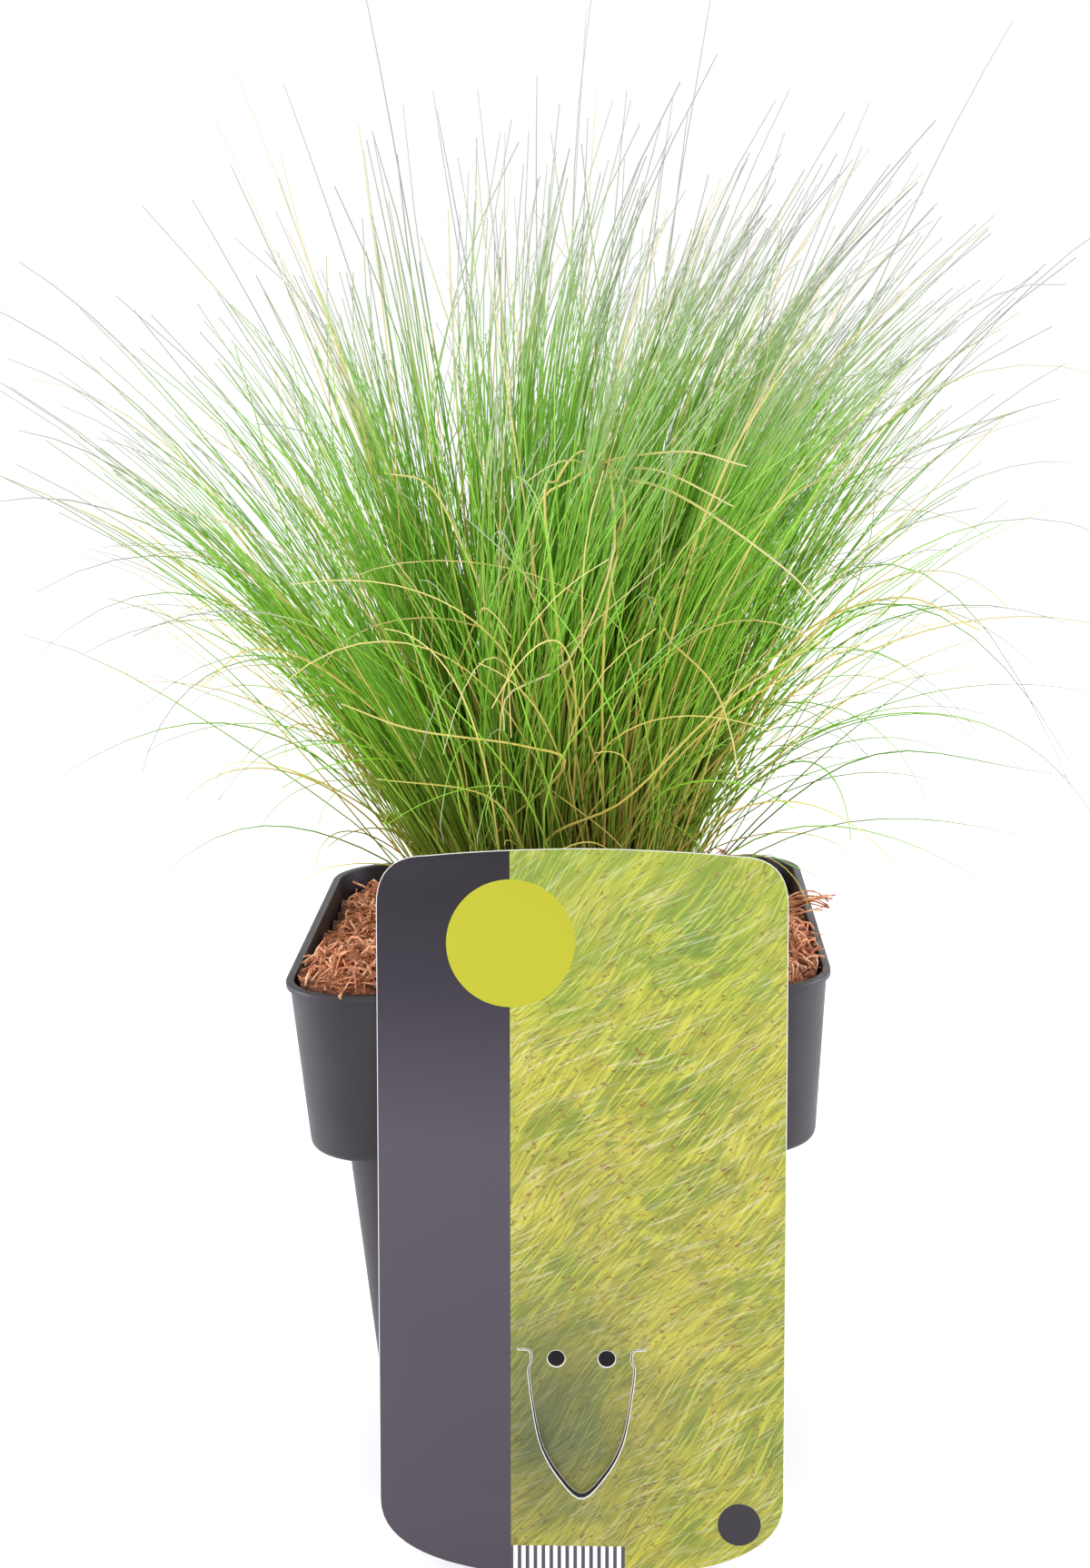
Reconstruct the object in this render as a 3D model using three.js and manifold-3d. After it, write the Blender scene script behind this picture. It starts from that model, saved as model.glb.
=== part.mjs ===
// Mexican feather grass growing in a square nursery pot, with its plant label.
//
// Millimetres, +Z up. The origin is the middle of the pot's foot, on the surface that it
// stands on. +X is to the right of somebody who faces the label, and +Y is away from them.

import * as THREE from 'three';
import { mergeVertices } from 'three/addons/utils/BufferGeometryUtils.js';
import Module from 'manifold-3d';

const wasm = await Module();
wasm.setup();

// ---------------------------------------------------------------- driving dimensions

const SEAT_GAP = 0.3;        // between two pieces that rest on each other

// Pot: 9 cm square, injection moulded, with a wide collar for the machine and the tray
const RIM_WIDTH = 90;        // over the lip
const RIM_CORNER = 12;       // corner radius of the lip
const POT_HEIGHT = 96;
const POT_WALL = 0.8;
const LIP_DEPTH = 1.2;
const LIP_OVERHANG = 0.6;
const COLLAR_HEIGHT = 29.5;  // from the rim down to the collar's lower edge
const COLLAR_TAPER = 2;      // that the collar narrows on each side
const COLLAR_STEP = 5.8;     // from the collar's lower edge in to the lower body
const LEDGE_RISE = 0.8;      // slope of the ledge under the collar
const FOOT_WIDTH = 63.6;
const FOOT_BEVEL = 0.8;
const BODY_CORNER = 8.5;     // corner radius of the lower body
const FLOOR_THICKNESS = 1.4;
const DRAIN_RADIUS = 3.6;
const DRAIN_REACH = 17.5;    // from the pot's axis to a drain hole, along x and y

// What fills the pot
const SOIL_TOP = 82.5;
const MULCH_DEPTH = 8.7;
const CROWN_RADIUS = 19.6;
const CROWN_HEIGHT = 6.7;
const CROWN_SHOULDER = 2.2;

// Grass: tufts of thin blades that rise from the crown and arch outwards like a fountain
const TUFT_COUNT = 42;
const DRY_EVERY = 7;         // every seventh tuft is dead straw
const DRY_FIRST = 3;
const TUFT_FIELD = 17;       // radius of the circle that the tufts' feet fill
const SHEATH_RADIUS = 1.95;  // the bundle of leaf sheaths at a tuft's foot
const SHEATH_TAPER = 0.8;    // width of the bundle's top as a share of its foot
const SHEATH_HEIGHT = 6;
const BLADES_PER_TUFT = 5;
const BLADE_RING = 1.2;      // radius on which a tuft's outer blades stand
const BLADE_FOOT = 0.5;      // half thickness of a blade bundle at its foot
const BLADE_TIP = 0.2;
const BLADE_STEPS = 5;
const BLADE_SUNK = 4;        // length of a blade inside its sheath
const LONGEST_BLADE = 164;   // in the middle of the crown
const OUTER_SHORTFALL = 24;  // by which the outermost blades are shorter
const SHORTEST_BLADE = 92;
const LEAN_AT_FOOT = 27;     // degrees from upright, at the rim of the crown
const LEAN_AT_TIP = 45;      // degrees that a full-length outer blade has added at its tip
const LEAN_POWER = 1.6;      // how late the arch comes: 1 is a round arc

// Plant label: a printed card that stands on the ground and leans on the pot's lip
const LABEL_WIDTH = 65.8;
const LABEL_LENGTH = 120;
const LABEL_THICKNESS = 0.5;
const LABEL_LEAN = 7;        // degrees back from upright
const LABEL_TURN = -1.5;     // degrees, seen from the front
const LABEL_SIDESTEP = 1.7;  // its foot stands this far right of the pot's axis
const LABEL_ROUND = 8;       // top corners
const LABEL_CAMBER = 1.2;    // rise of the top edge
const LABEL_CHIN = 13;       // depth of the curved lower end
const CHIN_FLAT = 0.48;      // how flat that curve is in the middle
const CHIN_JOWL = 0.2;       // how square it is at the sides
const EYELET_RADIUS = 1.4;
const EYELET_X = 4.1;
const EYELET_HEIGHT = 36.7;
const KERF = 0.4;            // width of the cut that frees the hanging tongue
const KERF_STEPS = 36;
// One half of the cut, from its free end down the tongue's edge, as [off centre, height]
const TONGUE_EDGE = [[10.3, 38.3], [8.4, 38], [8.2, 36.2], [8.6, 34.4], [7.8, 28], [6.5, 22], [3.8, 17]];
const TONGUE_TIP = 13.4;     // height of the tongue's rounded point

// ---------------------------------------------------------------- materials

const finish = (color, roughness) =>
  new THREE.MeshStandardMaterial({ color, roughness, metalness: 0 });

const POT_PLASTIC = finish('#45414a', 0.42);
const PEAT = finish('#2e2018', 0.95);
const COIR = finish('#9e664e', 0.9);
const CROWN_TISSUE = finish('#565828', 0.8);
const GREEN_LEAF = finish('#86b455', 0.55);
const STRAW = finish('#c8b36a', 0.7);
const LABEL_CARD = finish('#8f9a46', 0.3);

// ---------------------------------------------------------------- geometry helpers

const radians = THREE.MathUtils.degToRad;

/** A boolean-ready solid from a closed three.js geometry. */
function toSolid(geometry) {
  const bare = geometry.clone();
  bare.deleteAttribute('normal');
  bare.deleteAttribute('uv');
  const welded = mergeVertices(bare);
  return new wasm.Manifold(new wasm.Mesh({
    numProp: 3,
    vertProperties: new Float32Array(welded.attributes.position.array),
    triVerts: new Uint32Array(welded.index.array),
  }));
}

/** A three.js geometry from a solid. */
function toGeometry(solid) {
  const { vertProperties, triVerts } = solid.getMesh();
  const geometry = new THREE.BufferGeometry();
  geometry.setAttribute('position', new THREE.BufferAttribute(vertProperties, 3));
  geometry.setIndex(new THREE.BufferAttribute(triVerts, 1));
  geometry.computeVertexNormals();
  return geometry;
}

/** A closed skin over rings that all have the same number of points, capped at both ends. */
function loft(rings) {
  const count = rings[0].length;
  const points = rings.flat();
  const triangles = [];
  for (let ring = 0; ring < rings.length - 1; ring += 1) {
    for (let k = 0; k < count; k += 1) {
      const a = ring * count + k;
      const b = ring * count + ((k + 1) % count);
      triangles.push(a, b, b + count, a, b + count, a + count);
    }
  }
  const last = (rings.length - 1) * count;
  for (let k = 1; k < count - 1; k += 1) {
    triangles.push(0, k + 1, k, last, last + k, last + k + 1);
  }
  const geometry = new THREE.BufferGeometry().setFromPoints(points);
  geometry.setIndex(triangles);
  geometry.computeVertexNormals();
  return geometry;
}

/** The outline of a square with round corners at one height, anticlockwise from above. */
function squareRing(height, halfWidth, corner, stepsPerCorner = 4) {
  const inset = halfWidth - corner;
  const ring = [];
  for (let quarter = 0; quarter < 4; quarter += 1) {
    const sideX = quarter === 0 || quarter === 3 ? inset : -inset;
    const sideY = quarter < 2 ? inset : -inset;
    for (let step = 0; step <= stepsPerCorner; step += 1) {
      const angle = (quarter + step / stepsPerCorner) * Math.PI / 2;
      ring.push(new THREE.Vector3(
        sideX + corner * Math.cos(angle), sideY + corner * Math.sin(angle), height));
    }
  }
  return ring;
}

/** Repeatable number from 0 to 1 for a whole number. */
function scatter(index) {
  const value = Math.sin(index * 12.9898 + 4.1414) * 43758.5453;
  return value - Math.floor(value);
}

// ---------------------------------------------------------------- pot and its filling

const COLLAR_FOOT = POT_HEIGHT - COLLAR_HEIGHT;
const COLLAR_TOP_HALF = RIM_WIDTH / 2 - LIP_OVERHANG;
const COLLAR_FOOT_HALF = COLLAR_TOP_HALF - COLLAR_TAPER;
const BODY_TOP_HALF = COLLAR_FOOT_HALF - COLLAR_STEP;
const FOOT_HALF = FOOT_WIDTH / 2;
const COLLAR_CORNER = RIM_CORNER - LIP_OVERHANG;
const LEDGE_FOOT = COLLAR_FOOT - LEDGE_RISE;

/** The pot's inner wall from top to floor, or a filling's skin a gap inside it. */
function innerWall(top, floor, gap) {
  const inset = POT_WALL + gap;
  const slope = (COLLAR_TOP_HALF - COLLAR_FOOT_HALF) / COLLAR_HEIGHT;
  const topHalf = COLLAR_TOP_HALF - (POT_HEIGHT - top) * slope - inset;
  return [
    squareRing(top, topHalf, COLLAR_CORNER - inset),
    squareRing(COLLAR_FOOT + inset, COLLAR_FOOT_HALF - inset, COLLAR_CORNER - inset),
    squareRing(LEDGE_FOOT + inset, BODY_TOP_HALF - inset, BODY_CORNER - inset),
    squareRing(floor, FOOT_HALF - inset, BODY_CORNER - inset),
  ];
}

function potShell() {
  const outside = [
    squareRing(0, FOOT_HALF - FOOT_BEVEL, BODY_CORNER - FOOT_BEVEL),
    squareRing(FOOT_BEVEL, FOOT_HALF, BODY_CORNER),
    squareRing(LEDGE_FOOT, BODY_TOP_HALF, BODY_CORNER),
    squareRing(COLLAR_FOOT, COLLAR_FOOT_HALF, COLLAR_CORNER),
    squareRing(POT_HEIGHT - LIP_DEPTH, COLLAR_TOP_HALF, COLLAR_CORNER),
    squareRing(POT_HEIGHT - LIP_DEPTH, RIM_WIDTH / 2, RIM_CORNER),
    squareRing(POT_HEIGHT, RIM_WIDTH / 2, RIM_CORNER),
  ];
  return loft([...outside, ...innerWall(POT_HEIGHT, FLOOR_THICKNESS, 0)]);
}

function pot() {
  let shell = toSolid(potShell());
  for (const x of [-1, 0, 1]) {
    for (const y of [-1, 0, 1]) {
      if (x === 0 && y === 0) continue;
      const drain = new THREE.CylinderGeometry(DRAIN_RADIUS, DRAIN_RADIUS, 3 * FLOOR_THICKNESS, 12);
      drain.rotateX(Math.PI / 2);
      drain.translate(x * DRAIN_REACH, y * DRAIN_REACH, FLOOR_THICKNESS / 2);
      shell = shell.subtract(toSolid(drain));
    }
  }
  return toGeometry(shell);
}

function pottingSoil() {
  return loft(innerWall(SOIL_TOP, FLOOR_THICKNESS + SEAT_GAP, SEAT_GAP).reverse());
}

/** Loose coir on top of the soil, all round the crown. */
function coirMulch() {
  const foot = SOIL_TOP + SEAT_GAP;
  const half = COLLAR_TOP_HALF - COLLAR_TAPER * (POT_HEIGHT - foot) / COLLAR_HEIGHT
    - POT_WALL - SEAT_GAP;
  const layer = new THREE.Shape(
    squareRing(0, half, COLLAR_CORNER - POT_WALL - SEAT_GAP).map(({ x, y }) => new THREE.Vector2(x, y)));
  const opening = new THREE.Path();
  opening.absarc(0, 0, CROWN_RADIUS + SEAT_GAP, 0, 2 * Math.PI, true);
  layer.holes.push(opening);
  const ring = new THREE.ExtrudeGeometry(layer, {
    depth: MULCH_DEPTH, bevelEnabled: false, curveSegments: 20,
  });
  return ring.translate(0, 0, foot);
}

/** The woody crown that all the tufts grow from. */
function crown() {
  const foot = SOIL_TOP + SEAT_GAP;
  const profile = [
    [0, foot],
    [CROWN_RADIUS, foot],
    [CROWN_RADIUS, foot + CROWN_HEIGHT - CROWN_SHOULDER],
    [CROWN_RADIUS - CROWN_SHOULDER, foot + CROWN_HEIGHT],
    [0, foot + CROWN_HEIGHT],
  ].map(([radius, height]) => new THREE.Vector2(radius, height));
  return new THREE.LatheGeometry(profile, 24).rotateX(Math.PI / 2);
}

// ---------------------------------------------------------------- grass

const TUFT_FOOT = SOIL_TOP + SEAT_GAP + CROWN_HEIGHT + SEAT_GAP;
const GOLDEN_ANGLE = Math.PI * (3 - Math.sqrt(5));

/**
 * A blade bundle from its foot on the crown. It stays in the upright plane through the
 * pot's axis and leans more the farther out it stands, so that no two blades cross.
 */
function blade(footX, footY, length) {
  const azimuth = Math.atan2(footY, footX);
  const out = new THREE.Vector3(Math.cos(azimuth), Math.sin(azimuth), 0);
  const side = new THREE.Vector3(-out.y, out.x, 0);
  const reach = Math.hypot(footX, footY) / TUFT_FIELD;
  const centre = new THREE.Vector3(footX, footY, TUFT_FOOT + SHEATH_HEIGHT - BLADE_SUNK);
  const rings = [];
  for (let step = 0; step <= BLADE_STEPS; step += 1) {
    const along = step / BLADE_STEPS;
    const travelled = along * length / LONGEST_BLADE;
    const lean = radians(reach * (LEAN_AT_FOOT + LEAN_AT_TIP * travelled ** LEAN_POWER));
    const heading = out.clone().multiplyScalar(Math.sin(lean)).setZ(Math.cos(lean));
    const face = new THREE.Vector3().crossVectors(side, heading);
    const half = THREE.MathUtils.lerp(BLADE_FOOT, BLADE_TIP, along);
    rings.push([0, 1, 2].map((corner) => {
      const angle = corner * 2 * Math.PI / 3;
      return centre.clone()
        .addScaledVector(face, half * Math.cos(angle))
        .addScaledVector(side, -half * Math.sin(angle));
    }));
    centre.addScaledVector(heading, length / BLADE_STEPS);
  }
  return loft(rings.map((ring) => ring.reverse()));
}

/** The sheath bundle at a tuft's foot, a six-sided stump. */
function sheath(x, y) {
  const stump = new THREE.CylinderGeometry(
    SHEATH_RADIUS * SHEATH_TAPER, SHEATH_RADIUS, SHEATH_HEIGHT, 6);
  return stump.rotateX(Math.PI / 2).translate(x, y, TUFT_FOOT + SHEATH_HEIGHT / 2);
}

/** Tuft number `index` of the spiral that fills the crown, as one joined solid. */
function tuft(index) {
  const radius = TUFT_FIELD * Math.sqrt((index + 0.5) / TUFT_COUNT);
  const angle = index * GOLDEN_ANGLE;
  const x = radius * Math.cos(angle);
  const y = radius * Math.sin(angle);
  let solid = toSolid(sheath(x, y));
  for (let k = 0; k < BLADES_PER_TUFT; k += 1) {
    const turn = angle + k * 2 * Math.PI / (BLADES_PER_TUFT - 1);
    const ring = k === 0 ? 0 : BLADE_RING;
    const share = 1 - scatter(index * BLADES_PER_TUFT + k) ** 1.4;
    const longest = LONGEST_BLADE - OUTER_SHORTFALL * radius / TUFT_FIELD;
    const length = THREE.MathUtils.lerp(SHORTEST_BLADE, longest, share);
    solid = solid.add(toSolid(
      blade(x + ring * Math.cos(turn), y + ring * Math.sin(turn), length)));
  }
  return toGeometry(solid);
}

const isDry = (index) => index % DRY_EVERY === DRY_FIRST;

// ---------------------------------------------------------------- label

/** The card's outline, flat, from its lowest point at the origin. */
function labelOutline() {
  const half = LABEL_WIDTH / 2;
  const shoulder = LABEL_LENGTH - LABEL_CAMBER;
  const outline = new THREE.Shape();
  outline.moveTo(0, 0);
  outline.bezierCurveTo(half * CHIN_FLAT, 0, half, LABEL_CHIN * CHIN_JOWL, half, LABEL_CHIN);
  outline.lineTo(half, shoulder - LABEL_ROUND);
  outline.quadraticCurveTo(half, shoulder, half - LABEL_ROUND, shoulder);
  outline.quadraticCurveTo(0, LABEL_LENGTH + LABEL_CAMBER, LABEL_ROUND - half, shoulder);
  outline.quadraticCurveTo(-half, shoulder, -half, shoulder - LABEL_ROUND);
  outline.lineTo(-half, LABEL_CHIN);
  outline.bezierCurveTo(-half, LABEL_CHIN * CHIN_JOWL, -half * CHIN_FLAT, 0, 0, 0);
  return outline;
}

/** The U-shaped cut that lets the tongue bend out, as a thin closed slot. */
function tongueKerf() {
  const middle = new THREE.SplineCurve([
    ...TONGUE_EDGE.map(([x, y]) => new THREE.Vector2(-x, y)),
    new THREE.Vector2(0, TONGUE_TIP),
    ...TONGUE_EDGE.toReversed().map(([x, y]) => new THREE.Vector2(x, y)),
  ]);
  const edge = (offset) => Array.from({ length: KERF_STEPS + 1 }, (_, k) => {
    const { x, y } = middle.getTangent(k / KERF_STEPS);
    return middle.getPoint(k / KERF_STEPS).add(new THREE.Vector2(-y, x).multiplyScalar(offset));
  });
  return new THREE.Path([...edge(KERF / 2), ...edge(-KERF / 2).reverse()]);
}

function eyelet(x) {
  const hole = new THREE.Path();
  hole.absarc(x, EYELET_HEIGHT, EYELET_RADIUS, 0, 2 * Math.PI, true);
  return hole;
}

function plantLabel() {
  const outline = labelOutline();
  outline.holes.push(tongueKerf(), eyelet(-EYELET_X), eyelet(EYELET_X));
  const card = new THREE.ExtrudeGeometry(outline, {
    depth: LABEL_THICKNESS, bevelEnabled: false, curveSegments: 8,
  });
  card.rotateZ(radians(LABEL_TURN));
  card.rotateX(radians(90 - LABEL_LEAN));
  card.computeBoundingBox();
  const rimReach = RIM_WIDTH / 2 + SEAT_GAP + POT_HEIGHT * Math.tan(radians(LABEL_LEAN));
  return card.translate(LABEL_SIDESTEP, -rimReach, -card.boundingBox.min.z);
}

// ---------------------------------------------------------------- assembly

const plant = new THREE.Group();

function place(name, geometry, material) {
  const mesh = new THREE.Mesh(geometry, material);
  mesh.name = name;
  plant.add(mesh);
}

place('pot', pot(), POT_PLASTIC);
place('potting_soil', pottingSoil(), PEAT);
place('coir_mulch', coirMulch(), COIR);
place('crown', crown(), CROWN_TISSUE);
for (let index = 0; index < TUFT_COUNT; index += 1) {
  const number = String(index + 1).padStart(2, '0');
  const name = isDry(index) ? `straw_tuft_${number}` : `green_tuft_${number}`;
  place(name, tuft(index), isDry(index) ? STRAW : GREEN_LEAF);
}
place('plant_label', plantLabel(), LABEL_CARD);

export default plant;
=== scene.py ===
"""Looks of a mexican feather grass in its square nursery pot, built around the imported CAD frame.

Sizes in the dataclass fields are millimetres, as on a drawing, and MM turns them into metres.
+Z is up, and the plant label faces -Y.
"""

import logging
import math
from collections.abc import Callable
from dataclasses import dataclass, field
from enum import Enum
from functools import partial

import bmesh
import bpy
import numpy as np
from bpy.types import Curve, ID, Material, Mesh, Node, NodeOutputs, NodeTree, NodesModifier, Object
from bpy.types import NodeSocket as Socket
from mathutils import Euler, Matrix, Vector


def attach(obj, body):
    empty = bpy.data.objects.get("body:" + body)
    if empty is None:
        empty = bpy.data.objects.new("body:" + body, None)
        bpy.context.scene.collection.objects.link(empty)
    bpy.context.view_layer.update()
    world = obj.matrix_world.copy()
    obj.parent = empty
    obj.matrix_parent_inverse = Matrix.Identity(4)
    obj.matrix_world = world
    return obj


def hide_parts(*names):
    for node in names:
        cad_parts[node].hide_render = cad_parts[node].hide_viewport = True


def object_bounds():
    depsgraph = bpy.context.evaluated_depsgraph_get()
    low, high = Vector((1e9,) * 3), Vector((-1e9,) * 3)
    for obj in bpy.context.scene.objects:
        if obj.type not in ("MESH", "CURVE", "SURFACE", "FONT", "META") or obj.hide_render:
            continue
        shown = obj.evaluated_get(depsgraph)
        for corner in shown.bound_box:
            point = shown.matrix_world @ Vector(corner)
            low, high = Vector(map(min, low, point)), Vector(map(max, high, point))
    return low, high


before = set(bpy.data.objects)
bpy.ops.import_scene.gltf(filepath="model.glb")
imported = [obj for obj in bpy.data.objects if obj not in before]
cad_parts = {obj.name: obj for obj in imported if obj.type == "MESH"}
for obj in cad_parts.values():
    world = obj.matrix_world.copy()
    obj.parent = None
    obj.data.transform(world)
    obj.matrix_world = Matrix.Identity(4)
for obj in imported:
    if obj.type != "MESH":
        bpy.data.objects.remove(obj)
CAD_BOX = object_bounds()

MM = 0.001
ROOT_BODY = "root"
GOLDEN_ANGLE = math.pi * (3 - math.sqrt(5))
SHARP_ANGLE = math.radians(34)
WHITE = (1.0, 1.0, 1.0, 1.0)

log = logging.getLogger("feather_grass")

Pair = tuple[float, float]
Triple = tuple[float, float, float]
Rings = list[np.ndarray]
Random = np.random.Generator
Adder = Callable[..., Node]


# ------------ small helpers


def linear(hex_colour: str) -> tuple[float, float, float, float]:
    """Turns an sRGB hex colour into the linear colour that a shader takes.

    Args:
        hex_colour: Colour as "#rrggbb".

    Returns:
        Linear red, green and blue, and an alpha of 1.
    """
    parts = [int(hex_colour[i : i + 2], 16) / 255 for i in (1, 3, 5)]
    scaled = [p / 12.92 if p <= 0.04045 else ((p + 0.055) / 1.055) ** 2.4 for p in parts]
    return (*scaled, 1.0)


def feed(node: Node, inputs: dict) -> None:
    """Gives a node's inputs their values and links.

    Args:
        node: The node, in its tree.
        inputs: Input name or number, with a value or the output socket that feeds it.
    """
    for key, value in inputs.items():
        if isinstance(value, Socket):
            node.id_data.links.new(value, node.inputs[key])
        else:
            node.inputs[key].default_value = value


def add_node(
    tree: NodeTree, kind: str, inputs: dict | None = None, stops: tuple = (), **settings: object
) -> Node:
    """Adds a node with its settings, values, colour stops and links.

    Args:
        tree: Node tree that gets the node.
        kind: Node type, such as "ShaderNodeMath".
        inputs: Input name or number, with what feed() gives it.
        stops: For a Color Ramp: places from 0 to 1, each with an sRGB hex colour.
        **settings: Properties of the node itself.

    Returns:
        The new node.
    """
    node = tree.nodes.new(kind)
    for name, value in settings.items():
        setattr(node, name, value)
    feed(node, inputs or {})
    if stops:
        elements = node.color_ramp.elements
        while len(elements) > 1:
            elements.remove(elements[-1])
        elements[0].position, elements[0].color = stops[0][0], linear(stops[0][1])
        for place, colour in stops[1:]:
            elements.new(place).color = linear(colour)
    return node


def all_hold(add: Adder, *tests: tuple) -> Socket:
    """Adds the nodes of a mask that is 1 where all its tests hold.

    Args:
        add: Adds a node to the tree that gets the mask.
        *tests: A socket, "LESS_THAN" or "GREATER_THAN", and the limit or its socket.

    Returns:
        The mask.
    """
    mask = 1.0
    for value, test, limit in tests:
        passed = add("ShaderNodeMath", {0: value, 1: limit}, operation=test).outputs[0]
        mask = add("ShaderNodeMath", {0: mask, 1: passed}, operation="MULTIPLY").outputs[0]
    return mask


def new_material(name: str) -> tuple[Material, Adder, Node]:
    """Makes a material that holds only a Principled shader.

    Args:
        name: Name of the real material and how it was made.

    Returns:
        The material, add_node() for its tree, and its Principled node.
    """
    material = bpy.data.materials.new(name)
    material.use_nodes = True
    tree = material.node_tree
    return material, partial(add_node, tree), tree.nodes["Principled BSDF"]


def square_ring(height: float, half: float, corner: float, steps: int = 12) -> np.ndarray:
    """Outline of a square with round corners, anticlockwise from above.

    Args:
        height: Height of the outline, mm.
        half: Half of the width over the flats, mm.
        corner: Corner radius, mm.
        steps: Steps round each corner.

    Returns:
        One row of x, y, z for each point.
    """
    corner = min(corner, half)
    inset = half - corner
    quarters = np.repeat(np.arange(4), steps + 1)
    angles = (quarters + np.tile(np.arange(steps + 1) / steps, 4)) * math.pi / 2
    side_x = np.where((quarters == 0) | (quarters == 3), inset, -inset)
    side_y = np.where(quarters < 2, inset, -inset)
    points = [side_x + corner * np.cos(angles), side_y + corner * np.sin(angles)]
    return np.stack([*points, np.full(len(angles), height)], 1)


def lofted(rings: Rings) -> tuple[np.ndarray, list[tuple[int, ...]]]:
    """Closed skin over rings with the same number of points, capped at both ends.

    Args:
        rings: Outlines, from the foot upwards on the outside.

    Returns:
        Vertices in mm, and faces.
    """
    count = len(rings[0])
    faces = []
    for ring in range(len(rings) - 1):
        low = ring * count
        for k in range(count):
            after = (k + 1) % count
            faces.append((low + k, low + after, low + count + after, low + count + k))
    last = (len(rings) - 1) * count
    faces.append(tuple(range(count - 1, -1, -1)))
    faces.append(tuple(range(last, last + count)))
    return np.concatenate(rings), faces


def run_lengths(line: np.ndarray) -> np.ndarray:
    """How far along a line each of its points lies, in the line's own unit."""
    return np.concatenate([[0.0], np.cumsum(np.linalg.norm(np.diff(line, axis=0), axis=1))])


def resampled(line: np.ndarray, knots: np.ndarray, at: np.ndarray) -> np.ndarray:
    """Points on a line at places where it had none, with the line's own knots as the scale."""
    return np.stack([np.interp(at, knots, line[:, axis]) for axis in range(3)], 1)


def linked(name: str, data: ID) -> Object:
    """Makes an object at the origin and links it to the scene.

    Args:
        name: Name of the object.
        data: Its mesh, curve, light or camera.

    Returns:
        The object.
    """
    made = bpy.data.objects.new(name, data)
    bpy.context.scene.collection.objects.link(made)
    return made


def mesh_piece(name: str, vertices: np.ndarray, faces: list, material: Material) -> Object:
    """Makes an object at the origin from vertices in mm.

    Args:
        name: Piece name.
        vertices: One row of x, y, z for each vertex, mm.
        faces: Vertex numbers of each face.
        material: Finish of the piece.

    Returns:
        The object, linked to the scene.
    """
    mesh = bpy.data.meshes.new(name)
    mesh.from_pydata((vertices * MM).tolist(), [], faces)
    mesh.materials.append(material)
    return linked(name, mesh)


def smooth_by_angle(piece: Object) -> None:
    """Shades a piece smooth, with its creases kept sharp."""
    piece.data.polygons.foreach_set("use_smooth", [True] * len(piece.data.polygons))
    piece.data.set_sharp_from_angle(angle=SHARP_ANGLE)


def evaluated_mesh(source: Object) -> Mesh:
    """Plain mesh of what an object's modifiers or a curve's bevel make."""
    bpy.context.view_layer.update()
    return bpy.data.meshes.new_from_object(source.evaluated_get(bpy.context.evaluated_depsgraph_get()))


def apply_modifiers(piece: Object) -> None:
    """Turns a piece with live modifiers into a plain mesh and removes the modifiers.

    Args:
        piece: The object, which gets the new mesh.
    """
    plain = evaluated_mesh(piece)
    piece.modifiers.clear()
    piece.data = plain


def curve_piece(name: str, curve: Curve) -> Object:
    """Turns a bevelled curve into a plain mesh object.

    Args:
        name: Piece name.
        curve: The curve, in metres.

    Returns:
        The object, linked to the scene.
    """
    route = linked(f"{name}_route", curve)
    mesh = evaluated_mesh(route)
    bpy.data.objects.remove(route)
    return linked(name, mesh)


def hand_in(piece: Object, slot: str, *nodes: str) -> None:
    """Gives a finished piece to the frame: its body and the CAD nodes it stands for.

    Args:
        piece: Finished object, with its place in its mesh.
        slot: Material slot of the record. Not used.
        *nodes: CAD nodes that it replaces.
    """
    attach(piece, ROOT_BODY)
    if nodes:
        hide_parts(*nodes)
    log.info("%s: %d faces", piece.name, len(piece.data.polygons))


# ------------ finishes


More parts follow.
